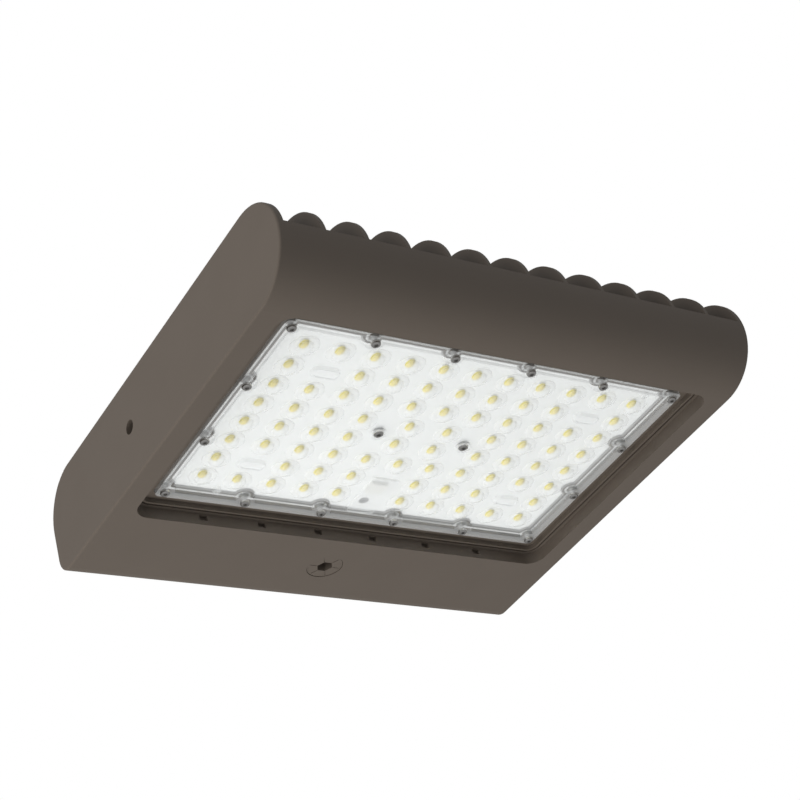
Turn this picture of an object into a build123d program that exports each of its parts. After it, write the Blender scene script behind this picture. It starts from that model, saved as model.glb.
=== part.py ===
from build123d import *
from math import atan2, cos, radians, sin, sqrt, tan
import os

# LED flood light, lens face down. X runs across the light, Y from the nose (-Y) to the rear (+Y),
# Z up from the lens face. The origin is under the middle of the body, in the plane of the face.
# All sizes are in millimetres.

# Body, seen from the side
body_width = 310.0
body_depth = 284.0
body_height = 62.0
shoulder_radius = 29.0
heel_radius = 12.0
rear_slant = 4.0
outline_edge = 1.2
side_wall = 4.0
nose_shell = 4.0
nose_lip_z = 34.0

# Cooling fins
fin_count = 11
fin_thick = 2.5

# Optical opening in the lens face
nose_length = 31.4
rear_panel = 70.0
cheek = 13.5
recess_corner = 10.0
recess_depth = 7.5
moat_drop = 2.9
rim_ledge = 2.2
rim_groove = 1.3
rim_groove_depth = 1.4
rim_rib = 1.4
recess_wall = 4.0
base_plate = 4.0

# Slots in the rear wall of the opening
slot_count = 6
slot_share = 0.135
slot_width = 5.0
slot_height = 3.4
slot_depth = 2.5
slot_z = 4.8

# Lens plate, a shallow tray with a raised flange round the field of domes
lens_margin_x = 10.0
lens_margin_y = 10.5
lens_corner = 3.0
lens_play = 0.4
lens_sink = 0.4
flange_width = 5.5
flange_thick = 4.3
field_drop = 3.1
field_thick = 1.9
scallop_radius = 6.0
sheet_corner = 4.0
dome_diameter = 17.0
dome_rise = 4.0
dome_slope = 38.0
dome_sides = 12
post_length = 18.0
post_width = 9.0
post_rise = 2.4
window_width = 19.0
window_front_gap = 4.5
window_rear_gap = 1.2
window_rise = 1.6
window_corner = 2.5
window_skin = 1.2
pin_diameter = 5.4
pin_step_x = 8.5
pin_rear_inset = 5.2
pin_front_inset = 3.0

# Lens screws, on the border of a 6 by 4 grid
lens_screw_nx = 6
lens_screw_ny = 4
lens_screw_inset_x = 4.7
lens_screw_inset_y = 5.1
lens_screw_diameter = 3.0
lens_screw_head = 5.6
lens_screw_head_height = 1.8
lens_screw_length = 9.0
screw_play = 0.2

# Light sources
led_columns = 11
led_rows = 8
led_border_x = 21.5
led_border_y = 20.425
led_shift = 0.42
led_size = 5.0
led_height = 0.7
led_clearance = 0.3
lens_back_border = 2.0

# Board, pad and gasket
board_gap = 0.3
board_thick = 1.6
board_inset = 6.8
board_scallop = 6.6
well_inset = 6.0
well_scallop = 5.8
pad_thick = 0.3
gasket_inset = 3.0
gasket_width = 1.4
gasket_scallop = 3.0
gasket_thick = 1.5
gasket_play = 0.1
board_screw_x = 29.0
board_screw_diameter = 3.0
board_screw_head = 6.0
board_screw_head_height = 2.0
board_screw_length = 6.0
board_screw_sink = 0.6
boss_ring = 2.0
boss_rise = 1.2
boss_foot = 1.2
connector_width = 11.0
connector_length = 9.0
connector_height = 2.2
connector_inset = 7.4
connector_port_width = 2.2
connector_port_height = 1.4
connector_port_depth = 3.0
lead_hole = 6.4
lead_hole_inset = 8.3
grommet_lip = 1.2
grommet_flange = 9.4
grommet_bore = 4.2

# Driver compartment
compartment_depth = 110.0
bulkhead = 6.0
tub_end_wall = 8.0
tub_rear_wall = 15.0
tub_corner = 3.0
panel_thick = 3.2
seam_front_drop = 9.5
seam_rear_drop = 29.0

# Compartment cover
cover_wall = 3.0
cover_flange = 5.0
cover_side_gap = 0.7
cover_seam_gap = 0.5
cover_gasket_width = 3.0
cover_gasket_thick = 1.8
cover_gasket_gap = 0.3
cover_gasket_corner = 4.0
cover_screw_diameter = 5.0
cover_screw_core = 4.2
cover_screw_head = 8.5
cover_screw_head_height = 4.0
cover_screw_grip = 4.0
cover_screw_reach = 10.0
cover_screw_inset = 6.8
cover_screw_from_side = 21.0
cover_well = 10.5
cover_well_wall = 2.2

# Hinge
hinge_radius = 4.5
hinge_lead = 4.0
hinge_from_side = 35.0
hinge_pin_diameter = 4.0
hinge_pin_play = 0.08
knuckle_length = 16.0
lug_length = 7.0
knuckle_gap = 0.5

# Bracket holes in the side walls, each with a closed nut in a cast pocket behind it
bracket_from_rear = 108.2
bracket_rise = 1.0
bracket_hole = 8.5
bracket_hole_draft = 1.0
nut_pocket_depth = 15.0
nut_pocket_front = 9.0
nut_pocket_rear = 16.2
nut_pocket_half_height = 8.5
nut_pocket_wall = 4.0
nut_core = 6.8
nut_mouth = 8.0
nut_mouth_depth = 0.5
nut_flats = 13.0
nut_length = 11.0
nut_thread_depth = 9.0
nut_flange = 16.0
nut_flange_thick = 2.0

# Sensor port and its plug, M20 x 1.5
plug_from_rear = 41.9
port_boss = 29.0
port_boss_height = 14.0
plug_head = 22.0
plug_head_thick = 1.8
plug_recess = 0.3
plug_thread = 19.8
plug_length = 12.0
plug_neck = 19.4
plug_clearance = 0.1
plug_pocket_play = 0.3
plug_hex = 9.0
plug_hex_depth = 6.0
plug_groove_width = 0.5
plug_groove_depth = 0.3
plug_groove_length = 4.4
oring_section = 1.0
oring_play = 0.1

# Cable gland, M16, sunk in a pocket of the rear wall
gland_from_side = 55.0
gland_z = 18.5
gland_pocket_width = 30.0
gland_pocket_height = 23.0
gland_pocket_depth = 25.0
gland_wall = 5.0
gland_side_wall = 3.0
gland_thread = 16.0
gland_hole_play = 0.15
gland_hex = 20.0
gland_collar = 5.0
gland_dome_length = 8.0
gland_dome_step = 0.6
gland_nut_length = 13.0
gland_nut_bore = 10.5
gland_nut_chamfer = 2.4
gland_nut_lip = 4.0
gland_cord = 8.0
gland_thread_reach = 5.5
gland_locknut_thick = 4.0

# Pressure vent in the bulkhead
vent_bay = 1
vent_z = 37.0
vent_head = 14.0
vent_head_thick = 4.0
vent_stem = 8.0

# Driver and electrical parts
driver_gap = 3.25
driver_side_gap = 3.5
driver_height = 34.0
driver_tab = 9.0
driver_tab_thick = 3.0
driver_edge = 3.0
part_post_height = 5.0
part_post = 9.0
part_screw_diameter = 4.0
part_screw_head = 7.0
part_screw_head_height = 2.6
part_screw_length = 9.0
arrester_gap = 5.75
arrester_width = 28.0
arrester_height = 22.0
arrester_tab = 8.0
arrester_edge = 2.0
terminal_from_side = 55.0
terminal_from_front = 18.0
terminal_pitch = 9.5
terminal_poles = 3
terminal_width = 20.0
terminal_height = 14.0
terminal_well = 4.8
terminal_well_depth = 8.0
terminal_port = 4.4
terminal_port_depth = 6.0
terminal_screw_length = 4.0
ground_step = 38.0
ground_boss = 9.0
ground_boss_height = 4.0
ground_screw_length = 5.0

# How far a cutting tool runs past the face it opens
overrun = 5.0

# Places worked out from the sizes above
half_width = body_width / 2
half_depth = body_depth / 2
inner_half = half_width - side_wall
nose_radius = body_height / 2
nose_y = nose_radius - half_depth
nose_z = nose_radius
shoulder_y = half_depth - shoulder_radius
shoulder_z = body_height - shoulder_radius
fin_pitch = (body_width - side_wall) / (fin_count + 1)
recess_width = body_width - 2 * cheek
recess_length = body_depth - nose_length - rear_panel
recess_front_y = nose_length - half_depth
recess_rear_y = half_depth - rear_panel
light_y = (recess_front_y + recess_rear_y) / 2
moat_z = recess_depth + moat_drop
lens_width = recess_width - 2 * lens_margin_x
lens_length = recess_length - 2 * lens_margin_y
flange_face_z = recess_depth + lens_sink
lens_bed_z = flange_face_z + flange_thick
field_z = flange_face_z + field_drop
field_back_z = field_z + field_thick
board_face_z = field_back_z + board_gap
board_back_z = board_face_z + board_thick
well_depth = board_back_z + pad_thick
shelf_z = well_depth + base_plate
deep_tub_y = recess_rear_y + recess_wall
bulkhead_y = half_depth - compartment_depth
tub_front_y = bulkhead_y + bulkhead
tub_rear_y = half_depth - tub_rear_wall
hinge_x = half_width - hinge_from_side
hinge_y = bulkhead_y - hinge_lead
hinge_z = body_height - hinge_radius
fin_rear_y = hinge_y - hinge_radius - 1.5
trench_z = hinge_z - hinge_radius - 3.0
cover_front_y = hinge_y + hinge_radius + 0.1
cover_half = inner_half - cover_side_gap
tub_half = inner_half - tub_end_wall
bracket_y = half_depth - bracket_from_rear
bracket_z = nose_radius + bracket_rise
seam_front_z = body_height - seam_front_drop
seam_rear_z = body_height - seam_rear_drop
plug_y = half_depth - plug_from_rear
gland_x = half_width - gland_from_side
gland_reach = gland_pocket_width / 2 + gland_side_wall
gland_pocket_floor_y = half_depth - gland_pocket_depth
driver_length = tub_half - port_boss / 2 - 2 * driver_tab - 2 * driver_gap
driver_x = -port_boss / 2 - driver_gap - driver_tab - driver_length / 2
driver_width = tub_rear_y - deep_tub_y - 2 * driver_side_gap
driver_y = (tub_rear_y + deep_tub_y) / 2
arrester_length = gland_x - gland_reach - port_boss / 2 - 2 * arrester_tab - 2 * arrester_gap
arrester_x = port_boss / 2 + arrester_gap + arrester_tab + arrester_length / 2
arrester_y = driver_y
terminal_x = half_width - terminal_from_side
terminal_y = tub_front_y + terminal_from_front
ground_x = terminal_x - ground_step
ground_y = terminal_y


def rear_y(z):
    """Where the slanted rear face lies at height z."""
    slant = radians(rear_slant)
    return shoulder_y + shoulder_radius / cos(slant) + (z - shoulder_z) * tan(slant)


seam_fall = (seam_front_z - seam_rear_z) / (half_depth - hinge_y)
seam_angle = atan2(seam_front_z - seam_rear_z, half_depth - hinge_y)
seam = Plane(
    origin=(0, half_depth, seam_rear_z),
    x_dir=(1, 0, 0),
    z_dir=(0, sin(seam_angle), cos(seam_angle)),
)


def seam_z(y, lift=0.0):
    """Height of the cover's seam at y, lift above it."""
    return seam_front_z - seam_fall * (y - hinge_y) + lift / cos(seam_angle)


def seam_y(y):
    """Distance along the seam plane for a place at y."""
    return (y - half_depth) / cos(seam_angle)


def between(low, high, mode=Mode.ADD):
    """Rectangle between two corners of the sketch at hand."""
    with Locations(((low[0] + high[0]) / 2, (low[1] + high[1]) / 2)):
        Rectangle(high[0] - low[0], high[1] - low[1], mode=mode)


def block(low, high, mode=Mode.ADD):
    """Box between two corners of the part at hand."""
    middle = [(a + b) / 2 for a, b in zip(low, high)]
    with Locations(tuple(middle)):
        Box(high[0] - low[0], high[1] - low[1], high[2] - low[2], mode=mode)


def seam_region(front_y, lift, mode=Mode.ADD):
    """Everything above the seam and behind front_y, in the side sketch at hand."""
    rear = half_depth + overrun
    top = body_height + overrun
    with BuildLine() as region:
        Polyline(
            (front_y, seam_z(front_y, lift)),
            (rear, seam_z(rear, lift)),
            (rear, top),
            (front_y, top),
            close=True,
        )
    make_face(region.edges(), mode=mode)


def side_outline(inset=0.0):
    """Outline of the body in the side sketch at hand, drawn inwards by inset."""
    with BuildLine() as outline:
        Polyline(
            (nose_y, body_height),
            (rear_y(body_height), body_height),
            (rear_y(0), 0),
            (nose_y, 0),
        )
        ThreePointArc((nose_y, 0), (nose_y - nose_radius, nose_z), (nose_y, body_height))
    make_face(outline.edges())
    fillet(vertices().sort_by(Axis.X)[-1], shoulder_radius)
    base = vertices().filter_by_position(Axis.Y, -0.01, 0.01)
    fillet(base.sort_by(Axis.X)[-1], heel_radius)
    if inset:
        offset(amount=-inset)


def ring_face(outer, inner, corner):
    """Rounded rectangular ring in the sketch at hand, corner measured on the outer line."""
    RectangleRounded(outer[0], outer[1], corner)
    step = (outer[0] - inner[0]) / 2
    RectangleRounded(inner[0], inner[1], max(corner - step, 0.5), mode=Mode.SUBTRACT)


def stepped_sheet(inset, radius):
    """Lens outline drawn inwards by inset, stepping back by radius round each lens screw."""
    with Locations((0, light_y)):
        RectangleRounded(lens_width - 2 * inset, lens_length - 2 * inset, sheet_corner)
    with Locations(*lens_screw_places):
        Circle(radius, mode=Mode.SUBTRACT)


def gasket_ring(play):
    """Seal line under the lens flange, wider by play on each side, passing inside each lens screw."""
    with BuildPart() as ring:
        with BuildSketch(Plane.XY.offset(lens_bed_z)):
            stepped_sheet(gasket_inset - play, gasket_scallop - play)
        extrude(amount=gasket_thick)
        with BuildSketch(Plane.XY.offset(lens_bed_z)):
            stepped_sheet(gasket_inset + gasket_width + play, gasket_scallop + gasket_width + play)
        extrude(amount=gasket_thick, mode=Mode.SUBTRACT)
    return ring.part


def fastener(head, head_height, shank, length):
    """Screw standing head up, with its seat at zero."""
    with BuildPart() as screw:
        with BuildSketch():
            Circle(head / 2)
        extrude(amount=head_height)
        with BuildSketch():
            Circle(shank / 2)
        extrude(amount=-length)
    return screw.part


def face_down(x, y, z):
    """Place for a screw driven upwards from below."""
    return Location((x, y, z), (180, 0, 0))


# Light source and screw layout
fin_xs = [-half_width + side_wall / 2 + (i + 1) * fin_pitch for i in range(fin_count)]
slot_pitch = slot_share * recess_width
slot_xs = [(i - (slot_count - 1) / 2) * slot_pitch for i in range(slot_count)]
led_pitch_x = (lens_width - 2 * led_border_x) / (led_columns - 1)
led_pitch_y = (lens_length - 2 * led_border_y) / (led_rows - 1)
column_xs = [(i - (led_columns - 1) / 2) * led_pitch_x for i in range(led_columns)]
row_ys = [light_y + (i - (led_rows - 1) / 2) * led_pitch_y for i in range(led_rows)]
shift = led_shift * led_pitch_x
post_rows = (1, led_rows - 2)
post_columns = (1, led_columns - 2)
middle_rows = (led_rows // 2 - 1, led_rows // 2)
window_rows = (led_rows - 2, led_rows - 1)
middle = led_columns // 2


def led_spots():
    """Centres of all light sources, row by row from the nose."""
    spots = []
    for row, y in enumerate(row_ys):
        for column, x in enumerate(column_xs):
            if row in post_rows and column in post_columns:
                continue
            if row in window_rows and column == middle:
                continue
            if row in middle_rows and column == middle:
                continue
            if row in middle_rows and abs(column - middle) == 1:
                x = x - shift if column > middle else x + shift
            spots.append((x, y))
    return spots


def border_spots(count_x, count_y, span_x, span_y):
    """Places on the border of a grid round the lens."""
    spots = []
    for i in range(count_x):
        for j in range(count_y):
            if i in (0, count_x - 1) or j in (0, count_y - 1):
                x = (i / (count_x - 1) - 0.5) * span_x
                y = light_y + (j / (count_y - 1) - 0.5) * span_y
                spots.append((x, y))
    return spots


led_places = led_spots()
post_places = [(column_xs[c], row_ys[r]) for c in post_columns for r in post_rows]
lens_screw_places = border_spots(
    lens_screw_nx,
    lens_screw_ny,
    lens_width - 2 * lens_screw_inset_x,
    lens_length - 2 * lens_screw_inset_y,
)
board_screw_places = [(-board_screw_x, light_y), (board_screw_x, light_y)]
board_screw_seat_z = field_z + board_screw_sink
field_front_y = light_y - lens_length / 2 + flange_width
field_rear_y = light_y + lens_length / 2 - flange_width
window_front_y = row_ys[-3] + dome_diameter / 2 + window_front_gap
window_rear_y = field_rear_y - window_rear_gap
window_y = (window_front_y + window_rear_y) / 2
window_length = window_rear_y - window_front_y
connector_y = window_front_y + connector_inset + connector_length / 2
lead_hole_y = window_rear_y - lead_hole_inset
pin_places = [
    (column_xs[1] - pin_step_x, field_rear_y - pin_rear_inset),
    (column_xs[-1], field_front_y + pin_front_inset),
]
seat_width = recess_width - 2 * (rim_ledge + rim_groove + rim_rib)
seat_length = recess_length - 2 * (rim_ledge + rim_groove + rim_rib)
driver_screw_places = [
    (driver_x + side * (driver_length / 2 + driver_tab / 2), driver_y) for side in (-1, 1)
]
arrester_screw_places = [
    (arrester_x + side * (arrester_length / 2 + arrester_tab / 2), arrester_y)
    for side in (-1, 1)
]
part_seat_z = panel_thick + part_post_height
gland_front_y = gland_pocket_floor_y - gland_wall
plug_head_z = plug_recess + plug_head_thick
plug_pocket_depth = plug_head_z + oring_section + 2 * oring_play
cover_screw_span = half_width - cover_screw_from_side
cover_screw_places = [(share * cover_screw_span, -cover_screw_inset) for share in (-1, -1 / 3, 1 / 3, 1)]
nut_pocket_x = inner_half - nut_pocket_depth
vent_x = fin_pitch * (vent_bay + 0.5)


# Core that leaves the fins, nose trough and the walls of the nut pockets standing
with BuildPart() as fin_core:
    front_wall_y = recess_front_y - recess_wall
    with BuildSketch(Plane.YZ):
        with Locations((nose_y, nose_z)):
            Circle(nose_radius - nose_shell)
        between((-body_depth, 0), (front_wall_y, nose_lip_z), mode=Mode.INTERSECT)
        between((front_wall_y, shelf_z), (bulkhead_y, nose_lip_z))
        between((-half_depth - overrun, nose_lip_z), (bulkhead_y, body_height + overrun))
    extrude(amount=inner_half, both=True)
    with BuildSketch(*[Plane.YZ.offset(x) for x in fin_xs]):
        between((-body_depth, 0), (fin_rear_y, body_height + 2 * overrun))
        between((fin_rear_y, 0), (bulkhead_y, trench_z))
    extrude(amount=fin_thick / 2, both=True, mode=Mode.SUBTRACT)
    for side in (-1, 1):
        ends = sorted((side * (nut_pocket_x - nut_pocket_wall), side * (inner_half + overrun)))
        block(
            (
                ends[0],
                bracket_y - nut_pocket_front - nut_pocket_wall,
                bracket_z - nut_pocket_half_height - nut_pocket_wall,
            ),
            (
                ends[1],
                bulkhead_y + overrun,
                bracket_z + nut_pocket_half_height + nut_pocket_wall,
            ),
            mode=Mode.SUBTRACT,
        )

# Core of the driver compartment, with its bosses
with BuildPart() as tub_core:
    with BuildSketch(Plane.YZ):
        between((tub_front_y, shelf_z), (tub_rear_y, body_height + overrun))
        between((deep_tub_y, panel_thick), (tub_rear_y, shelf_z + 1))
    extrude(amount=tub_half, both=True)
    fillet(tub_core.edges().filter_by(Axis.Z), tub_corner)
    with BuildSketch(Plane.XY.offset(panel_thick)):
        with Locations((0, plug_y)):
            Circle(port_boss / 2)
    extrude(amount=port_boss_height - panel_thick, mode=Mode.SUBTRACT)
    with BuildSketch(Plane.XY.offset(panel_thick)):
        with Locations(*driver_screw_places, *arrester_screw_places):
            Circle(part_post / 2)
    extrude(amount=part_post_height, mode=Mode.SUBTRACT)
    with BuildSketch(Plane.XY.offset(shelf_z)):
        with Locations((ground_x, ground_y)):
            Circle(ground_boss / 2)
    extrude(amount=ground_boss_height, mode=Mode.SUBTRACT)
    block(
        (gland_x - gland_reach, gland_front_y, 0),
        (gland_x + gland_reach, body_depth, gland_z + gland_pocket_height / 2 + gland_side_wall),
        mode=Mode.SUBTRACT,
    )
    for side in (-1, 1):
        ends = sorted((side * nut_pocket_x, side * inner_half))
        block(
            (ends[0], bracket_y - nut_pocket_front, bracket_z - nut_pocket_half_height),
            (ends[1], bracket_y + nut_pocket_rear, bracket_z + nut_pocket_half_height),
        )

# Core of the optical opening: recess, rim groove, moat, lens bed, board well and slots
with BuildPart() as light_core:
    with BuildSketch(Plane.XY.offset(-overrun)):
        with Locations((0, light_y)):
            RectangleRounded(recess_width, recess_length, recess_corner)
    extrude(amount=recess_depth + overrun)
    with BuildSketch(Plane.XY.offset(recess_depth)):
        with Locations((0, light_y)):
            ring_face(
                (recess_width - 2 * rim_ledge, recess_length - 2 * rim_ledge),
                (seat_width + 2 * rim_rib, seat_length + 2 * rim_rib),
                recess_corner - rim_ledge,
            )
    extrude(amount=rim_groove_depth)
    with BuildSketch(Plane.XY.offset(recess_depth - 0.5)):
        with Locations((0, light_y)):
            RectangleRounded(seat_width, seat_length, recess_corner / 2)
    extrude(amount=moat_drop + 0.5)
    with BuildSketch(Plane.XY.offset(moat_z - 0.5)):
        with Locations((0, light_y)):
            RectangleRounded(
                lens_width + 2 * lens_play, lens_length + 2 * lens_play, lens_corner + lens_play
            )
    extrude(amount=lens_bed_z - moat_z + 0.5)
    with BuildSketch(Plane.XY.offset(lens_bed_z - 0.5)):
        stepped_sheet(well_inset, well_scallop)
    extrude(amount=well_depth - lens_bed_z + 0.5)
    add(gasket_ring(gasket_play))
    for x in slot_xs:
        block(
            (x - slot_width / 2, recess_rear_y - 1, slot_z - slot_height / 2),
            (x + slot_width / 2, recess_rear_y + slot_depth, slot_z + slot_height / 2),
        )

with BuildPart() as housing:
    with BuildSketch(Plane.YZ):
        side_outline()
    extrude(amount=half_width, both=True)
    side_faces = housing.faces().sort_by(Axis.X)
    fillet(side_faces[0].edges() + side_faces[-1].edges(), outline_edge)
    add(fin_core.part, mode=Mode.SUBTRACT)
    with BuildSketch(Plane.YZ):
        seam_region(bulkhead_y, 0)
    extrude(amount=inner_half, both=True, mode=Mode.SUBTRACT)
    add(tub_core.part, mode=Mode.SUBTRACT)
    add(light_core.part, mode=Mode.SUBTRACT)
    # Hinge lugs in front of the bulkhead
    lug_step = (knuckle_length + lug_length) / 2 + knuckle_gap
    lug_xs = [side * hinge_x + step for side in (-1, 1) for step in (-lug_step, lug_step)]
    with BuildSketch(*[Plane.YZ.offset(x) for x in lug_xs]):
        with Locations((hinge_y, hinge_z)):
            Circle(hinge_radius)
        with BuildLine():
            Polyline(
                (hinge_y - hinge_radius, hinge_z),
                (bulkhead_y, hinge_z),
                (bulkhead_y, seam_z(bulkhead_y) - 1),
                (bulkhead_y + 1, seam_z(bulkhead_y) - 1),
                (bulkhead_y + 1, trench_z - hinge_radius),
                close=True,
            )
        make_face()
    extrude(amount=lug_length / 2, both=True)
    with BuildSketch(*[Plane.YZ.offset(x) for x in lug_xs]):
        with Locations((hinge_y, hinge_z)):
            Circle(hinge_pin_diameter / 2)
    extrude(amount=lug_length, both=True, mode=Mode.SUBTRACT)
    # Holes for the bolts of the mounting bracket
    for side in (-1, 1):
        with BuildSketch(Plane.YZ.offset(side * half_width)):
            with Locations((bracket_y, bracket_z)):
                Circle(bracket_hole / 2)
        extrude(amount=-side * (side_wall + 1), taper=bracket_hole_draft, mode=Mode.SUBTRACT)
    # Sensor port
    with BuildSketch():
        with Locations((0, plug_y)):
            Circle(plug_head / 2 + plug_pocket_play)
    extrude(amount=plug_pocket_depth, mode=Mode.SUBTRACT)
    with BuildSketch():
        with Locations((0, plug_y)):
            Circle(plug_thread / 2 + plug_clearance)
    extrude(amount=port_boss_height + 1, mode=Mode.SUBTRACT)
    # Cable gland pocket and bore
    block(
        (
            gland_x - gland_pocket_width / 2,
            gland_pocket_floor_y,
            gland_z - gland_pocket_height / 2,
        ),
        (
            gland_x + gland_pocket_width / 2,
            body_depth,
            gland_z + gland_pocket_height / 2,
        ),
        mode=Mode.SUBTRACT,
    )
    with BuildSketch(Plane.XZ.offset(-gland_front_y + 1)):
        with Locations((gland_x, gland_z)):
            Circle(gland_thread / 2 + gland_hole_play)
    extrude(amount=-gland_wall - 2, mode=Mode.SUBTRACT)
    # Vent hole
    with BuildSketch(Plane.XZ.offset(-bulkhead_y + 1)):
        with Locations((vent_x, vent_z)):
            Circle(vent_stem / 2)
    extrude(amount=-bulkhead - 2, mode=Mode.SUBTRACT)
    # Tapped holes for the lens, board, cover and compartment screws
    with BuildSketch(Plane.XY.offset(lens_bed_z)):
        with Locations(*lens_screw_places):
            Circle(lens_screw_diameter / 2)
    extrude(amount=lens_screw_length - flange_thick + 0.6, mode=Mode.SUBTRACT)
    with BuildSketch(Plane.XY.offset(well_depth)):
        with Locations(*board_screw_places):
            Circle(board_screw_diameter / 2)
    extrude(amount=base_plate - 1, mode=Mode.SUBTRACT)
    with BuildSketch(Plane.XY.offset(well_depth)):
        with Locations((0, lead_hole_y)):
            Circle(lead_hole / 2)
    extrude(amount=base_plate + 1, mode=Mode.SUBTRACT)
    with BuildSketch(seam):
        with Locations(*cover_screw_places):
            Circle(cover_screw_diameter / 2)
    extrude(amount=-cover_screw_reach, mode=Mode.SUBTRACT)
    with BuildSketch(Plane.XY.offset(part_seat_z)):
        with Locations(*driver_screw_places, *arrester_screw_places):
            Circle(part_screw_diameter / 2)
    extrude(amount=-part_post_height - 1, mode=Mode.SUBTRACT)
    with BuildSketch(Plane.XY.offset(shelf_z + ground_boss_height)):
        with Locations((ground_x, ground_y)):
            Circle(part_screw_diameter / 2)
    extrude(amount=-ground_screw_length - 1, mode=Mode.SUBTRACT)

# Closed nuts of the bracket bolts, standing on the inner face of each side wall
with BuildPart() as bracket_nuts:
    for side in (-1, 1):
        wall = Plane(origin=(side * inner_half, bracket_y, bracket_z), z_dir=(-side, 0, 0))
        with BuildSketch(wall):
            Circle(nut_flange / 2)
        extrude(amount=nut_flange_thick)
        with BuildSketch(wall):
            RegularPolygon(nut_flats / sqrt(3), 6)
        extrude(amount=nut_length)
        with BuildSketch(wall):
            Circle(nut_core / 2)
        extrude(amount=nut_thread_depth, mode=Mode.SUBTRACT)
        with BuildSketch(wall):
            Circle(nut_mouth / 2)
        extrude(amount=nut_mouth_depth, mode=Mode.SUBTRACT)

# Thermal pad, board, light sources, connector
with BuildPart() as thermal_pad:
    with BuildSketch(Plane.XY.offset(board_back_z)):
        stepped_sheet(board_inset, board_scallop)
        with Locations(*board_screw_places):
            Circle(board_screw_diameter / 2 + screw_play, mode=Mode.SUBTRACT)
        with Locations((0, lead_hole_y)):
            Circle(lead_hole / 2, mode=Mode.SUBTRACT)
    extrude(amount=pad_thick)

with BuildPart() as led_board:
    with BuildSketch(Plane.XY.offset(board_face_z)):
        stepped_sheet(board_inset, board_scallop)
        with Locations(*board_screw_places):
            Circle(board_screw_diameter / 2 + screw_play, mode=Mode.SUBTRACT)
        with Locations((0, lead_hole_y)):
            Circle(lead_hole / 2, mode=Mode.SUBTRACT)
    extrude(amount=board_thick)

with BuildPart() as leds:
    with BuildSketch(Plane.XY.offset(board_face_z)):
        with Locations(*led_places):
            Rectangle(led_size, led_size)
    extrude(amount=-led_height)

with BuildPart() as board_connector:
    with BuildSketch(Plane.XY.offset(board_face_z)):
        with Locations((0, connector_y)):
            Rectangle(connector_width, connector_length)
    extrude(amount=-connector_height)
    with BuildSketch(Plane.XZ.offset(-connector_y - connector_length / 2)):
        with Locations(
            (-connector_width / 4, board_face_z - connector_height / 2),
            (connector_width / 4, board_face_z - connector_height / 2),
        ):
            Rectangle(connector_port_width, connector_port_height)
    extrude(amount=connector_port_depth, mode=Mode.SUBTRACT)

with BuildPart() as lead_grommet:
    with BuildSketch(Plane.XY.offset(shelf_z)):
        with Locations((0, lead_hole_y)):
            Circle(grommet_flange / 2)
    extrude(amount=grommet_lip)
    with BuildSketch(Plane.XY.offset(shelf_z)):
        with Locations((0, lead_hole_y)):
            Circle(lead_hole / 2)
    extrude(amount=board_face_z - shelf_z)
    with BuildSketch(Plane.XY.offset(board_face_z)):
        with Locations((0, lead_hole_y)):
            Circle(grommet_bore / 2)
    extrude(amount=shelf_z - board_face_z + grommet_lip, mode=Mode.SUBTRACT)

# Lens plate: flange, sunken field, domes, posts, pins, window and bosses at the middle screws
with BuildPart() as lens:
    with BuildSketch(Plane.XY.offset(flange_face_z)):
        with Locations((0, light_y)):
            RectangleRounded(lens_width, lens_length, lens_corner)
    extrude(amount=flange_thick)
    with BuildSketch(Plane.XY.offset(flange_face_z)):
        stepped_sheet(flange_width, scallop_radius)
    extrude(amount=field_drop, mode=Mode.SUBTRACT)
    with BuildSketch(Plane.XY.offset(lens_bed_z)):
        stepped_sheet(well_inset + lens_play, well_scallop + lens_play)
    extrude(amount=field_back_z - lens_bed_z)
    with BuildSketch(Plane.XY.offset(field_z)):
        with Locations(*led_places):
            RegularPolygon(dome_diameter / 2, dome_sides)
    extrude(amount=-dome_rise, taper=dome_slope)
    with BuildSketch(Plane.XY.offset(field_z)):
        with Locations(*post_places):
            SlotOverall(post_length, post_width)
        with Locations(*pin_places):
            Circle(pin_diameter / 2)
    extrude(amount=-post_rise)
    with BuildSketch(Plane.XY.offset(field_z)):
        with Locations((0, window_y)):
            RectangleRounded(window_width, window_length, window_corner)
    extrude(amount=-window_rise)
    with BuildSketch(Plane.XY.offset(field_z)):
        with Locations(*board_screw_places):
            Circle(board_screw_head / 2 + boss_ring)
    extrude(amount=-boss_rise)
    with BuildSketch(Plane.XY.offset(field_back_z)):
        with Locations(*board_screw_places):
            Circle(board_screw_head / 2 + boss_foot)
    extrude(amount=board_gap)
    with BuildSketch(Plane.XY.offset(field_back_z)):
        stepped_sheet(
            well_inset + lens_play + lens_back_border, well_scallop + lens_play + lens_back_border
        )
        with Locations(*board_screw_places):
            Circle(board_screw_head / 2 + boss_foot, mode=Mode.SUBTRACT)
    extrude(amount=board_gap - led_height - led_clearance, mode=Mode.SUBTRACT)
    with BuildSketch(Plane.XY.offset(field_back_z)):
        with Locations((0, window_y)):
            RectangleRounded(
                window_width - 2 * window_skin, window_length - 2 * window_skin, window_corner / 2
            )
    extrude(amount=window_skin - field_thick - window_rise, mode=Mode.SUBTRACT)
    with BuildSketch(Plane.XY.offset(board_screw_seat_z)):
        with Locations(*board_screw_places):
            Circle(board_screw_head / 2 + screw_play)
    extrude(amount=-board_screw_sink - boss_rise, mode=Mode.SUBTRACT)
    with BuildSketch(Plane.XY.offset(flange_face_z)):
        with Locations(*board_screw_places):
            Circle(board_screw_diameter / 2 + screw_play)
        with Locations(*lens_screw_places):
            Circle(lens_screw_diameter / 2 + screw_play)
    extrude(amount=board_face_z - flange_face_z, mode=Mode.SUBTRACT)

with BuildPart() as lens_gasket:
    add(gasket_ring(0.0))

lens_screw = fastener(
    lens_screw_head, lens_screw_head_height, lens_screw_diameter, lens_screw_length
)
with BuildPart() as lens_screws:
    with Locations(*[face_down(x, y, flange_face_z) for x, y in lens_screw_places]):
        add(lens_screw)

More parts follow.
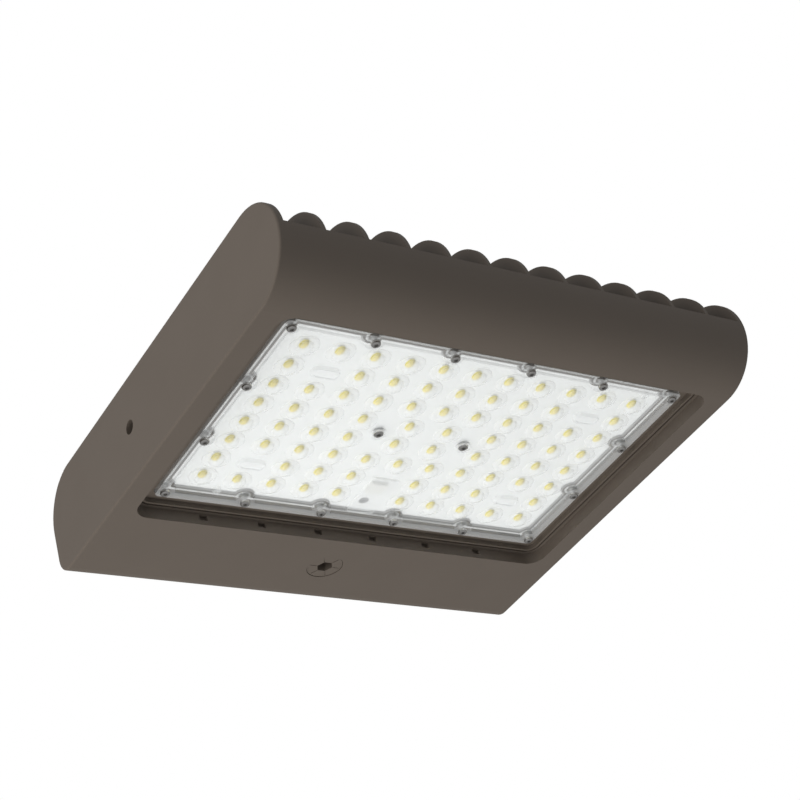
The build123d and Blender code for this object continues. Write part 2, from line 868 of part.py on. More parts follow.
board_screw = fastener(
    board_screw_head, board_screw_head_height, board_screw_diameter, board_screw_length
)
with BuildPart() as board_screws:
    with Locations(*[face_down(x, y, board_screw_seat_z) for x, y in board_screw_places]):
        add(board_screw)

# Electrical parts in the compartment
with BuildPart() as driver:
    with BuildSketch(Plane.XY.offset(part_seat_z)):
        with Locations((driver_x, driver_y)):
            Rectangle(driver_length, driver_width)
    extrude(amount=driver_height)
    fillet(driver.edges().filter_by(Axis.X), driver_edge)
    with BuildSketch(Plane.XY.offset(part_seat_z)):
        with Locations((driver_x, driver_y)):
            Rectangle(driver_length + 2 * driver_tab, driver_width / 2)
        with Locations(*driver_screw_places):
            Circle(part_screw_diameter / 2 + screw_play, mode=Mode.SUBTRACT)
    extrude(amount=driver_tab_thick)

with BuildPart() as surge_arrester:
    with BuildSketch(Plane.XY.offset(part_seat_z)):
        with Locations((arrester_x, arrester_y)):
            Rectangle(arrester_length, arrester_width)
    extrude(amount=arrester_height)
    fillet(surge_arrester.edges().filter_by(Axis.Z), arrester_edge)
    with BuildSketch(Plane.XY.offset(part_seat_z)):
        with Locations((arrester_x, arrester_y)):
            Rectangle(arrester_length + 2 * arrester_tab, arrester_width / 2)
        with Locations(*arrester_screw_places):
            Circle(part_screw_diameter / 2 + screw_play, mode=Mode.SUBTRACT)
    extrude(amount=driver_tab_thick)

part_screw = fastener(
    part_screw_head, part_screw_head_height, part_screw_diameter, part_screw_length
)
with BuildPart() as driver_screws:
    with Locations(*[(x, y, part_seat_z + driver_tab_thick) for x, y in driver_screw_places]):
        add(part_screw)

with BuildPart() as arrester_screws:
    with Locations(*[(x, y, part_seat_z + driver_tab_thick) for x, y in arrester_screw_places]):
        add(part_screw)

ground_part = fastener(
    part_screw_head, part_screw_head_height, part_screw_diameter, ground_screw_length
)
with BuildPart() as ground_screw:
    with Locations((ground_x, ground_y, shelf_z + ground_boss_height)):
        add(ground_part)

terminal_top_z = shelf_z + terminal_height
terminal_rear_y = terminal_y + terminal_width / 2
pole_steps = [i - (terminal_poles - 1) / 2 for i in range(terminal_poles)]
pole_xs = [terminal_x + step * terminal_pitch for step in pole_steps]
with BuildPart() as terminal_block:
    with BuildSketch(Plane.XY.offset(shelf_z)):
        with Locations((terminal_x, terminal_y)):
            Rectangle(terminal_pitch * terminal_poles, terminal_width)
    extrude(amount=terminal_height)
    with BuildSketch(Plane.XY.offset(terminal_top_z)):
        with Locations(*[(x, terminal_y) for x in pole_xs]):
            Circle(terminal_well / 2)
    extrude(amount=-terminal_well_depth, mode=Mode.SUBTRACT)
    with BuildSketch(Plane.XZ.offset(-terminal_rear_y)):
        with Locations(*[(x, shelf_z + terminal_port) for x in pole_xs]):
            Rectangle(terminal_port, terminal_port)
    extrude(amount=terminal_port_depth, mode=Mode.SUBTRACT)

with BuildPart() as terminal_screws:
    with BuildSketch(Plane.XY.offset(terminal_top_z - terminal_well_depth)):
        with Locations(*[(x, terminal_y) for x in pole_xs]):
            Circle(terminal_well / 2 - screw_play)
    extrude(amount=terminal_screw_length)

# Sensor port plug and its seal
with BuildPart() as sensor_plug:
    with BuildSketch(Plane.XY.offset(plug_recess)):
        with Locations((0, plug_y)):
            Circle(plug_head / 2)
    extrude(amount=plug_head_thick)
    with BuildSketch(Plane.XY.offset(plug_head_z)):
        with Locations((0, plug_y)):
            Circle(plug_neck / 2)
    extrude(amount=oring_section + 3 * oring_play)
    with BuildSketch(Plane.XY.offset(plug_pocket_depth + oring_play)):
        with Locations((0, plug_y)):
            Circle(plug_thread / 2)
    extrude(amount=plug_length - plug_pocket_depth)
    with BuildSketch():
        with Locations((0, plug_y)):
            RegularPolygon(plug_hex / sqrt(3), 6)
    extrude(amount=plug_recess + plug_hex_depth, mode=Mode.SUBTRACT)
    # Shallow grooves from the corners of the socket to the rim
    with BuildSketch(Plane.XY.offset(plug_recess)):
        with Locations((0, plug_y)):
            with PolarLocations(plug_head / 2 - 1 - plug_groove_length / 2, 6):
                Rectangle(plug_groove_length, plug_groove_width)
    extrude(amount=plug_groove_depth, mode=Mode.SUBTRACT)

with BuildPart() as plug_seal:
    with BuildSketch(Plane.XY.offset(plug_head_z + oring_play)):
        with Locations((0, plug_y)):
            Circle(plug_head / 2)
            Circle(plug_neck / 2 + 2 * oring_play, mode=Mode.SUBTRACT)
    extrude(amount=oring_section)

# Cable gland, its axis along Y
gland_plane = Plane(
    origin=(gland_x, gland_pocket_floor_y, gland_z), x_dir=(1, 0, 0), z_dir=(0, 1, 0)
)
with BuildPart() as gland_body:
    with BuildSketch(gland_plane):
        RegularPolygon(gland_hex / sqrt(3), 6)
    extrude(amount=gland_collar)
    with BuildSketch(gland_plane):
        Circle(gland_thread / 2)
    extrude(amount=-gland_wall - gland_thread_reach)
    with BuildSketch(gland_plane.offset(gland_collar)):
        Circle(gland_thread / 2 - gland_dome_step)
    extrude(amount=gland_dome_length)
    with BuildSketch(gland_plane.offset(-gland_wall - gland_thread_reach)):
        Circle(gland_nut_bore / 2)
    extrude(amount=body_depth, mode=Mode.SUBTRACT)

with BuildPart() as gland_nut:
    with BuildSketch(gland_plane.offset(gland_collar)):
        Circle(gland_hex / 2 - gland_dome_step)
    extrude(amount=gland_nut_length)
    chamfer(gland_nut.edges().filter_by(GeomType.CIRCLE).sort_by(Axis.Y)[-1], gland_nut_chamfer)
    with BuildSketch(gland_plane.offset(gland_collar)):
        Circle(gland_thread / 2 - gland_dome_step + 0.1)
    extrude(amount=gland_nut_length - gland_nut_lip, mode=Mode.SUBTRACT)
    with BuildSketch(gland_plane.offset(gland_collar)):
        Circle(gland_nut_bore / 2)
    extrude(amount=gland_nut_length, mode=Mode.SUBTRACT)

with BuildPart() as gland_insert:
    with BuildSketch(gland_plane):
        Circle(gland_nut_bore / 2)
        Circle(gland_cord / 2, mode=Mode.SUBTRACT)
    extrude(amount=gland_collar + gland_nut_length - 1)

with BuildPart() as gland_locknut:
    with BuildSketch(gland_plane.offset(-gland_wall)):
        RegularPolygon(gland_hex / sqrt(3), 6)
        Circle(gland_thread / 2 + 0.05, mode=Mode.SUBTRACT)
    extrude(amount=-gland_locknut_thick)

with BuildPart() as pressure_vent:
    with BuildSketch(Plane.XZ.offset(-bulkhead_y)):
        with Locations((vent_x, vent_z)):
            Circle(vent_head / 2)
    extrude(amount=vent_head_thick)
    with BuildSketch(Plane.XZ.offset(-bulkhead_y)):
        with Locations((vent_x, vent_z)):
            Circle(vent_stem / 2)
    extrude(amount=-bulkhead - 1)

def cover_seal_ring(play, lift, thick):
    """Seal line of the cover over the rim of the compartment, wider by play on each side."""
    front = seam_y(bulkhead_y + bulkhead / 2 + cover_gasket_gap)
    rear = seam_y(tub_rear_y + cover_gasket_width)
    span = (2 * tub_half + tub_end_wall - 2 * cover_gasket_gap, rear - front)
    spread = cover_gasket_width + 2 * play
    with BuildPart() as ring:
        with BuildSketch(seam.offset(lift)):
            with Locations((0, (front + rear) / 2)):
                ring_face(
                    (span[0] + spread, span[1] + spread),
                    (span[0] - spread, span[1] - spread),
                    cover_gasket_corner,
                )
        extrude(amount=thick)
    return ring.part


# Compartment cover. Its hollow is a core of its own, with the screw bosses left standing
with BuildPart() as cover_core:
    with BuildSketch(Plane.YZ):
        side_outline(cover_wall)
        seam_region(cover_front_y + cover_wall, cover_seam_gap + cover_flange, Mode.INTERSECT)
    extrude(amount=cover_half - cover_wall, both=True)
    with BuildSketch(seam):
        with Locations(*cover_screw_places):
            Circle(cover_well / 2 + cover_well_wall)
    extrude(amount=body_height, mode=Mode.SUBTRACT)
    with BuildSketch(seam):
        front = seam_y(tub_front_y + 1)
        rear = seam_y(tub_rear_y - 1)
        between((-tub_half + 1, front), (tub_half - 1, rear))
    extrude(amount=cover_seam_gap + cover_flange + 1)

with BuildPart() as driver_cover:
    with BuildSketch(Plane.YZ):
        side_outline()
        seam_region(cover_front_y, cover_seam_gap, Mode.INTERSECT)
    extrude(amount=cover_half, both=True)
    add(cover_core.part, mode=Mode.SUBTRACT)
    knuckle_planes = [Plane.YZ.offset(side * hinge_x) for side in (-1, 1)]
    with BuildSketch(*knuckle_planes):
        with Locations((hinge_y, hinge_z)):
            Circle(hinge_radius)
        between((hinge_y, hinge_z - hinge_radius + 0.5), (cover_front_y + 1, body_height))
    extrude(amount=knuckle_length / 2, both=True)
    with BuildSketch(*knuckle_planes):
        with Locations((hinge_y, hinge_z)):
            Circle(hinge_pin_diameter / 2 + hinge_pin_play)
    extrude(amount=knuckle_length, both=True, mode=Mode.SUBTRACT)
    with BuildSketch(seam.offset(cover_seam_gap + cover_screw_grip)):
        with Locations(*cover_screw_places):
            Circle(cover_well / 2)
    extrude(amount=body_height, mode=Mode.SUBTRACT)
    with BuildSketch(seam):
        with Locations(*cover_screw_places):
            Circle(cover_screw_core / 2 + screw_play)
    extrude(amount=cover_flange + overrun, mode=Mode.SUBTRACT)
    add(cover_seal_ring(gasket_play, 0.0, cover_gasket_gap + cover_gasket_thick), mode=Mode.SUBTRACT)

with BuildPart() as cover_gasket:
    add(cover_seal_ring(0.0, cover_gasket_gap, cover_gasket_thick))

cover_screw = fastener(
    cover_screw_head,
    cover_screw_head_height,
    cover_screw_core,
    cover_seam_gap + cover_screw_grip + cover_screw_reach - 1.5,
)
with BuildPart() as cover_screws:
    head_seat = seam.offset(cover_seam_gap + cover_screw_grip)
    with Locations(*[head_seat * Location((x, y, 0)) for x, y in cover_screw_places]):
        add(cover_screw)

with BuildPart() as hinge_pins:
    pin_half = knuckle_length / 2 + knuckle_gap + lug_length
    with BuildSketch(*[Plane.YZ.offset(side * hinge_x) for side in (-1, 1)]):
        with Locations((hinge_y, hinge_z)):
            Circle(hinge_pin_diameter / 2)
    extrude(amount=pin_half, both=True)

pieces = {
    "housing": housing,
    "bracket_nuts": bracket_nuts,
    "thermal_pad": thermal_pad,
    "led_board": led_board,
    "leds": leds,
    "board_connector": board_connector,
    "lead_grommet": lead_grommet,
    "lens": lens,
    "lens_gasket": lens_gasket,
    "lens_screws": lens_screws,
    "board_screws": board_screws,
    "driver": driver,
    "driver_screws": driver_screws,
    "surge_arrester": surge_arrester,
    "arrester_screws": arrester_screws,
    "ground_screw": ground_screw,
    "terminal_block": terminal_block,
    "terminal_screws": terminal_screws,
    "sensor_plug": sensor_plug,
    "plug_seal": plug_seal,
    "gland_body": gland_body,
    "gland_nut": gland_nut,
    "gland_insert": gland_insert,
    "gland_locknut": gland_locknut,
    "pressure_vent": pressure_vent,
    "driver_cover": driver_cover,
    "cover_gasket": cover_gasket,
    "cover_screws": cover_screws,
    "hinge_pins": hinge_pins,
}

os.makedirs("parts", exist_ok=True)
for name, piece in pieces.items():
    piece.part.label = name
    export_step(piece.part, f"parts/{name}.step")
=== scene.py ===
from math import atan2, copysign, cos, pi, radians, sin, sqrt, tau

import bmesh
import bpy
from bpy.props import FloatProperty, FloatVectorProperty, IntProperty, PointerProperty
from mathutils import Matrix, Vector


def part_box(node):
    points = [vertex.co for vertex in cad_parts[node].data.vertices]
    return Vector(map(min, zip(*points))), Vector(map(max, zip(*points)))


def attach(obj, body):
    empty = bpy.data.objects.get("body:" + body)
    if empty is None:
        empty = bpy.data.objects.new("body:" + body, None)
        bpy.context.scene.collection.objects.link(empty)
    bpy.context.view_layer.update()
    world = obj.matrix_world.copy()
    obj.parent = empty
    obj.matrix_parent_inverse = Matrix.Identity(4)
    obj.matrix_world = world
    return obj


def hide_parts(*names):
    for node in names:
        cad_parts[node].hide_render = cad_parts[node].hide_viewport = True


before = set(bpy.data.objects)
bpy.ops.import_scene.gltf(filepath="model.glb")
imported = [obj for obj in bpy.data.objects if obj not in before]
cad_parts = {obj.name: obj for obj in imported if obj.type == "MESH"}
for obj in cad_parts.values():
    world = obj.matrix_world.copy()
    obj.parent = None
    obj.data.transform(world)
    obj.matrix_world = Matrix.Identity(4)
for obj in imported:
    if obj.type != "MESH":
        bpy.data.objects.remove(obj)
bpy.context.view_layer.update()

bl_info = {
    "name": "LED flood light",
    "version": (1, 0, 0),
    "blender": (4, 5, 0),
    "location": "View3D > Sidebar > Flood light",
    "description": "Lens plate, light sources, fasteners and finishes of an LED flood light",
    "category": "Add Mesh",
}

MM = 0.001

lens_low, lens_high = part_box("lens")
leds_low, leds_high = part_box("leds")
LIGHT_Y = (lens_low.y + lens_high.y) / 2

# Sizes that the CAD solids have too
LENS_HEAD_HEIGHT = 1.8 * MM
LENS_CORNER = 3.0 * MM
FIELD_DROP = 3.1 * MM
BOARD_GAP = 0.3 * MM
LED_CLEARANCE = 0.3 * MM
BOARD_SCREW_SINK = 0.6 * MM
SCREW_HOLE_RADIUS = 1.7 * MM
PACKAGE = 5.0 * MM
POST_SIZE = (18.0 * MM, 9.0 * MM)
PIN_RADIUS = 2.7 * MM
WINDOW_WIDTH = 19.0 * MM
WINDOW_CORNER = 2.5 * MM
WINDOW_SKIN = 1.2 * MM

# Heights along Z, which runs from the lens face of the body towards the fins
FLANGE_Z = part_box("lens_screws")[0].z + LENS_HEAD_HEIGHT
FIELD_Z = FLANGE_Z + FIELD_DROP
BED_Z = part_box("lens_gasket")[0].z
BOARD_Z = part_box("led_board")[0].z
BACK_Z = BOARD_Z - BOARD_GAP
LED_Z = leds_low.z
POCKET_Z = LED_Z - LED_CLEARANCE
BOARD_SCREW_Z = FIELD_Z + BOARD_SCREW_SINK

# Profiles in mm: how far in from the outline, and how far out from the field
POST_PROFILE = ((0.0, 0.0), (0.3, 1.7), (0.9, 2.4), (1.9, 2.4), (2.3, 1.9))
PIN_PROFILE = ((0.0, 0.0), (0.2, 2.0), (0.7, 2.4), (1.3, 2.4), (1.5, 1.6))
WINDOW_PROFILE = ((0.0, 0.0), (0.2, 1.2), (0.6, 1.6))
SKIRT_PROFILE = ((0.0, 0.0), (0.15, 0.45), (0.6, 0.8), (2.0, 1.2))

# Camera, worked out from the grids of domes and screws in the photo
CAMERA_PLACE = (-0.58227, -0.71108, -0.56971)
CAMERA_RIGHT = Vector((0.83614575, -0.50336974, -0.21789718))
CAMERA_UP = Vector((-0.14304845, -0.58362599, 0.79932337))
CAMERA_BACK = Vector((-0.52952566, -0.63718099, -0.56000265))
SENSOR_WIDTH = 36.0

# Stage round the light
FLOOR_Z = -1.35
FLOOR_HALF = 6.0
SIDE_LAMP_PLACE = (-1.5, -0.1, -0.1)
SIDE_LAMP_WIDTH = 1.4
LOW_LAMP_PLACE = (-0.2, 0.5, -1.2)
LOW_LAMP_WIDTH = 1.2


def length(name, description, default):
    """Size in metres that a user may change."""
    return FloatProperty(name=name, description=description, default=default, min=0.0, unit="LENGTH")


def colour(name, description, default):
    """Linear colour that a user may change."""
    return FloatVectorProperty(
        name=name, description=description, default=default, size=3, min=0.0, max=1.0, subtype="COLOR"
    )


class CoatSettings(bpy.types.PropertyGroup):
    """Powder coat of the castings."""

    bronze: colour("Bronze", "Colour of the powder coat", (0.132, 0.108, 0.087))
    roughness: FloatProperty(
        name="Roughness", description="Gloss of the coat", default=0.5, min=0.0, max=1.0
    )
    grain: length("Grain", "Width of one bump of the orange peel", 0.9 * MM)
    grain_height: length("Grain height", "Height of the orange peel", 0.02 * MM)


class LensSettings(bpy.types.PropertyGroup):
    """Clear plate with one dome over each light source."""

    flange_width: length("Flange width", "Width of the raised border", 5.5 * MM)
    flange_draft: length("Flange draft", "Slope of the border's inner wall", 0.7 * MM)
    scallop_radius: length("Scallop radius", "Radius of the border round a screw", 6.0 * MM)
    dome_diameter: length("Dome diameter", "Width of one dome", 17.0 * MM)
    cavity_width: length("Cavity width", "Width of the hollow over a light source", 4.6 * MM)
    cavity_length: length("Cavity length", "Length of the hollow over a light source", 6.8 * MM)
    cavity_height: length("Cavity height", "Height of the hollow over a light source", 1.7 * MM)
    bulb_width: length("Bulb width", "Width of the bulb on a dome", 9.6 * MM)
    bulb_length: length("Bulb length", "Length of the bulb on a dome", 12.0 * MM)
    bulb_foot: length("Bulb foot", "Height of the bulb's foot over the field", 0.8 * MM)
    dome_steps: IntProperty(name="Dome steps", description="Sides of one dome", default=32, min=8, max=64)
    index: FloatProperty(
        name="Index", description="Refraction of the plate", default=1.49, min=1.0, max=2.0
    )


class LightSourceSettings(bpy.types.PropertyGroup):
    """LED packages on the board.

    Their fills are drawn larger than real ones, because these domes enlarge them less.
    """

    package: length("Package", "Width of one package", PACKAGE)
    phosphor_width: length("Phosphor width", "Width of the yellow fill", 5.0 * MM)
    phosphor_length: length("Phosphor length", "Length of the yellow fill", 7.2 * MM)
    phosphor_rise: length("Phosphor rise", "Height of the yellow fill over the package", 1.9 * MM)
    phosphor: colour("Phosphor", "Colour of the yellow fill", (0.86, 0.72, 0.004))


class FastenerSettings(bpy.types.PropertyGroup):
    """Screws of the lens and the board."""

    lens_head: length("Lens screw head", "Head width of the lens screws", 5.6 * MM)
    lens_head_height: length("Lens screw head height", "Head height of the lens screws", LENS_HEAD_HEIGHT)
    lens_socket: length("Lens screw socket", "Socket width of the lens screws", 2.6 * MM)
    lens_socket_depth: length("Lens screw socket depth", "Socket depth of the lens screws", 1.1 * MM)
    board_head: length("Board screw head", "Head width of the board screws", 6.0 * MM)
    board_head_height: length("Board screw head height", "Head height of the board screws", 2.0 * MM)
    board_socket: length("Board screw socket", "Socket width of the board screws", 2.8 * MM)
    board_socket_depth: length("Board screw socket depth", "Socket depth of the board screws", 1.2 * MM)
    shank: length("Shank", "Width of the screws' shanks", 3.0 * MM)
    reach: length("Reach", "Length of the screws below their heads", 6.0 * MM)
    turn_seed: IntProperty(name="Turn seed", description="Seed of the screws' turn", default=7, min=0)


class StudioSettings(bpy.types.PropertyGroup):
    """Floor, lamps and camera."""

    lens_focal: FloatProperty(name="Focal length", description="Camera lens in mm", default=84.88)
    sky: FloatProperty(name="Sky", description="Plain light from all round", default=0.34, min=0.0)
    side_lamp: FloatProperty(name="Side lamp", description="Watts of the lamp at the left", default=14.0)
    low_lamp: FloatProperty(
        name="Low lamp", description="Watts of the lamp under the light", default=13.0
    )
    floor: colour("Floor", "Colour of the floor", (0.82, 0.82, 0.82))


# Outlines, as points in metres


def circle_line(centre, radius, steps):
    """Round outline."""
    return [
        (centre[0] + radius * cos(tau * i / steps), centre[1] + radius * sin(tau * i / steps))
        for i in range(steps)
    ]


def rounded_line(centre, size, corner, steps=6):
    """Rectangle with rounded corners."""
    points = []
    for quarter in range(4):
        side_x = 1 if quarter in (0, 3) else -1
        side_y = 1 if quarter in (0, 1) else -1
        turn_x = centre[0] + side_x * (size[0] / 2 - corner)
        turn_y = centre[1] + side_y * (size[1] / 2 - corner)
        for i in range(steps + 1):
            angle = pi / 2 * (quarter + i / steps)
            points.append((turn_x + corner * cos(angle), turn_y + corner * sin(angle)))
    return points


def slot_line(centre, overall, width, steps=12):
    """Long round-ended outline along X."""
    points = []
    for side in (1, -1):
        for i in range(steps + 1):
            angle = -side * pi / 2 + pi * i / steps if side > 0 else pi / 2 + pi * i / steps
            turn_x = centre[0] + side * (overall - width) / 2
            points.append((turn_x + width / 2 * cos(angle), centre[1] + width / 2 * sin(angle)))
    return points


def oval_line(centre, span_x, span_y, steps):
    """Oval outline, span_x along X and span_y along Y."""
    return [
        (centre[0] + span_x / 2 * cos(tau * i / steps), centre[1] + span_y / 2 * sin(tau * i / steps))
        for i in range(steps)
    ]


def lens_line(inset, radius, steps=10):
    """Lens outline drawn inwards by inset, stepping back by radius round each lens screw."""
    half = (lens_size[0] / 2 - inset, lens_size[1] / 2 - inset)
    arcs = []
    for spot in lens_screw_spots:
        place = (spot[0], spot[1] - LIGHT_Y)
        hits = []
        for axis in (0, 1):
            other = 1 - axis
            gap = half[axis] - abs(place[axis])
            if abs(gap) >= radius:
                continue
            reach = sqrt(radius * radius - gap * gap)
            for sign in (-1, 1):
                point = [0.0, 0.0]
                point[axis] = copysign(half[axis], place[axis])
                point[other] = place[other] + sign * reach
                if abs(point[other]) <= half[other]:
                    hits.append(point)
        hits.sort(key=lambda p: atan2(p[1], p[0]))
        first, last = (atan2(p[1] - place[1], p[0] - place[0]) for p in hits)
        inward = atan2(-place[1], -place[0])
        sweep = (last - first) % tau
        if (inward - first) % tau > sweep:
            sweep -= tau
        arc = []
        for i in range(steps + 1):
            angle = first + sweep * i / steps
            arc.append((spot[0] + radius * cos(angle), spot[1] + radius * sin(angle)))
        arcs.append((atan2(place[1], place[0]), arc))
    return [point for _, arc in sorted(arcs) for point in arc]


# Places of what repeats, worked out as in the CAD source

led_columns = 11
led_rows = 8
led_shift = 0.42
column_pitch = (leds_high.x - leds_low.x - PACKAGE) / (led_columns - 1)
row_pitch = (leds_high.y - leds_low.y - PACKAGE) / (led_rows - 1)
columns = [(i - (led_columns - 1) / 2) * column_pitch for i in range(led_columns)]
rows = [LIGHT_Y + (i - (led_rows - 1) / 2) * row_pitch for i in range(led_rows)]
middle = led_columns // 2
post_rows = (1, led_rows - 2)
post_columns = (1, led_columns - 2)
middle_rows = (led_rows // 2 - 1, led_rows // 2)
window_rows = (led_rows - 2, led_rows - 1)


def led_spots():
    """Centres of all light sources, row by row from the nose."""
    spots = []
    for row, y in enumerate(rows):
        for column, x in enumerate(columns):
            if row in post_rows and column in post_columns:
                continue
            if column == middle and row in window_rows + middle_rows:
                continue
            if row in middle_rows and abs(column - middle) == 1:
                x += copysign(led_shift * column_pitch, middle - column)
            spots.append((x, y))
    return spots


def border_spots(count_x, count_y, span_x, span_y):
    """Places on the border of a grid round the lens."""
    spots = []
    for i in range(count_x):
        for j in range(count_y):
            if i in (0, count_x - 1) or j in (0, count_y - 1):
                x = (i / (count_x - 1) - 0.5) * span_x
                y = LIGHT_Y + (j / (count_y - 1) - 0.5) * span_y
                spots.append((x, y))
    return spots


lens_size = (lens_high.x - lens_low.x, lens_high.y - lens_low.y)
lens_screw_columns = 6
lens_screw_rows = 4
lens_screw_inset = (4.7 * MM, 5.1 * MM)
lens_screw_spots = border_spots(
    lens_screw_columns,
    lens_screw_rows,
    lens_size[0] - 2 * lens_screw_inset[0],
    lens_size[1] - 2 * lens_screw_inset[1],
)
board_screw_x = 29.0 * MM
board_screw_spots = [(-board_screw_x, LIGHT_Y), (board_screw_x, LIGHT_Y)]
post_spots = [(columns[c], rows[r]) for c in post_columns for r in post_rows]
window_front_step = 13.0 * MM
window_rear_inset = 6.7 * MM
window_front = rows[-3] + window_front_step
window_rear = lens_high.y - window_rear_inset
window_size = (WINDOW_WIDTH, window_rear - window_front)
window_centre = (0.0, (window_front + window_rear) / 2)
pin_step = 8.5 * MM
pin_front_inset = 8.5 * MM
pin_rear_inset = 10.7 * MM
pin_spots = [
    (columns[1] - pin_step, lens_high.y - pin_rear_inset),
    (columns[-1], lens_low.y + pin_front_inset),
]


# Mesh helpers


def ring(bm, outline, z):
    """Loop of points at one height."""
    return [bm.verts.new((x, y, z)) for x, y in outline]


def skirt(bm, rings):
    """Closed wall through rings of equal length."""
    for low, high in zip(rings, rings[1:]):
        for i in range(len(low)):
            j = (i + 1) % len(low)
            bm.faces.new((low[i], low[j], high[j], high[i]))


def sheet(bm, outer, holes=()):
    """Flat face inside one loop and outside the others."""
    edges = []
    for loop in (outer, *holes):
        for i in range(len(loop)):
            pair = (loop[i], loop[(i + 1) % len(loop)])
            edges.append(bm.edges.get(pair) or bm.edges.new(pair))
    bmesh.ops.triangle_fill(bm, use_beauty=True, edges=edges)


def peak(bm, loop, z):
    """Fan that closes a loop at its middle."""
    centre = sum((v.co for v in loop), Vector()) / len(loop)
    tip = bm.verts.new((centre.x, centre.y, z))
    for i in range(len(loop)):
        bm.faces.new((loop[i], loop[(i + 1) % len(loop)], tip))


def object_from(bm, name, crease=35.0, outward=True):
    """Object with soft shading, and hard edges where faces meet at more than crease degrees."""
    if outward:
        bmesh.ops.recalc_face_normals(bm, faces=bm.faces)
    for face in bm.faces:
        face.smooth = True
    for edge in bm.edges:
        edge.smooth = len(edge.link_faces) == 2 and edge.calc_face_angle(0) < radians(crease)
    mesh = bpy.data.meshes.new(name)
    bm.to_mesh(mesh)
    bm.free()
    made = bpy.data.objects.new(name, mesh)
    bpy.context.scene.collection.objects.link(made)
    return made


def points_object(name, places, turns=None):
    """Loose points, each with the turn of what stands there."""
    mesh = bpy.data.meshes.new(name)
    mesh.from_pydata([tuple(p) for p in places], [], [])
    turn = mesh.attributes.new("turn", "FLOAT_VECTOR", "POINT")
    for item, value in zip(turn.data, turns or [(0.0, 0.0, 0.0)] * len(places)):
        item.vector = value
    made = bpy.data.objects.new(name, mesh)
    bpy.context.scene.collection.objects.link(made)
    return made


# Node trees that repeat pieces


def link(tree, start, end):
    """Joins two sockets."""
    tree.links.new(start, end)


def start_tree(name, inputs):
    """Geometry node tree with named inputs."""
    tree = bpy.data.node_groups.new(name, "GeometryNodeTree")
    tree.interface.new_socket("Geometry", in_out="INPUT", socket_type="NodeSocketGeometry")
    for label, kind in inputs:
        tree.interface.new_socket(label, in_out="INPUT", socket_type=kind)
    tree.interface.new_socket("Geometry", in_out="OUTPUT", socket_type="NodeSocketGeometry")
    return tree, tree.nodes.new("NodeGroupInput"), tree.nodes.new("NodeGroupOutput")


def repeat_tree():
    """Tree that stands one piece on every point, turned at random about its axis."""
    made = bpy.data.node_groups.get("Repeat piece")
    if made:
        return made
    tree, start, end = start_tree(
        "Repeat piece",
        [
            ("Piece", "NodeSocketObject"),
            ("Size", "NodeSocketVector"),
            ("Random turn", "NodeSocketFloat"),
            ("Seed", "NodeSocketInt"),
            ("Material", "NodeSocketMaterial"),
        ],
    )
    piece = tree.nodes.new("GeometryNodeObjectInfo")
    turn = tree.nodes.new("GeometryNodeInputNamedAttribute")
    turn.data_type = "FLOAT_VECTOR"
    turn.inputs["Name"].default_value = "turn"
    place = tree.nodes.new("GeometryNodeInstanceOnPoints")
    spin = tree.nodes.new("FunctionNodeRandomValue")
    about = tree.nodes.new("ShaderNodeCombineXYZ")
    rotate = tree.nodes.new("GeometryNodeRotateInstances")
    real = tree.nodes.new("GeometryNodeRealizeInstances")
    finish = tree.nodes.new("GeometryNodeSetMaterial")
    link(tree, start.outputs["Piece"], piece.inputs["Object"])
    link(tree, start.outputs["Geometry"], place.inputs["Points"])
    link(tree, piece.outputs["Geometry"], place.inputs["Instance"])
    link(tree, turn.outputs["Attribute"], place.inputs["Rotation"])
    link(tree, start.outputs["Size"], place.inputs["Scale"])
    link(tree, start.outputs["Random turn"], spin.inputs[3])
    link(tree, start.outputs["Seed"], spin.inputs["Seed"])
    link(tree, spin.outputs[1], about.inputs["Z"])
    link(tree, place.outputs["Instances"], rotate.inputs["Instances"])
    link(tree, about.outputs["Vector"], rotate.inputs["Rotation"])
    link(tree, rotate.outputs["Instances"], real.inputs["Geometry"])
    link(tree, real.outputs["Geometry"], finish.inputs["Geometry"])
    link(tree, start.outputs["Material"], finish.inputs["Material"])
    link(tree, finish.outputs["Geometry"], end.inputs["Geometry"])
    return tree


def lens_tree():
    """Tree that stands a dome on every point, joins them to the plate and welds the seams."""
    tree, start, end = start_tree(
        "Lens plate",
        [
            ("Plate", "NodeSocketObject"),
            ("Dome", "NodeSocketObject"),
            ("Weld", "NodeSocketFloat"),
            ("Material", "NodeSocketMaterial"),
        ],
    )
    plate = tree.nodes.new("GeometryNodeObjectInfo")
    dome = tree.nodes.new("GeometryNodeObjectInfo")
    place = tree.nodes.new("GeometryNodeInstanceOnPoints")
    real = tree.nodes.new("GeometryNodeRealizeInstances")
    join = tree.nodes.new("GeometryNodeJoinGeometry")
    weld = tree.nodes.new("GeometryNodeMergeByDistance")
    finish = tree.nodes.new("GeometryNodeSetMaterial")
    link(tree, start.outputs["Plate"], plate.inputs["Object"])
    link(tree, start.outputs["Dome"], dome.inputs["Object"])
    link(tree, start.outputs["Geometry"], place.inputs["Points"])
    link(tree, dome.outputs["Geometry"], place.inputs["Instance"])
    link(tree, place.outputs["Instances"], join.inputs["Geometry"])
    link(tree, plate.outputs["Geometry"], join.inputs["Geometry"])
    link(tree, join.outputs["Geometry"], real.inputs["Geometry"])
    link(tree, real.outputs["Geometry"], weld.inputs["Geometry"])
    link(tree, start.outputs["Weld"], weld.inputs["Distance"])
    link(tree, weld.outputs["Geometry"], finish.inputs["Geometry"])
    link(tree, start.outputs["Material"], finish.inputs["Material"])
    link(tree, finish.outputs["Geometry"], end.inputs["Geometry"])
    return tree


def set_input(modifier, label, value):
    """Gives a named input its value by the socket's identifier."""
    for item in modifier.node_group.interface.items_tree:
        if item.in_out == "INPUT" and item.name == label:
            modifier[item.identifier] = value
            return
    raise RuntimeError(f"the tree has no input named {label}")


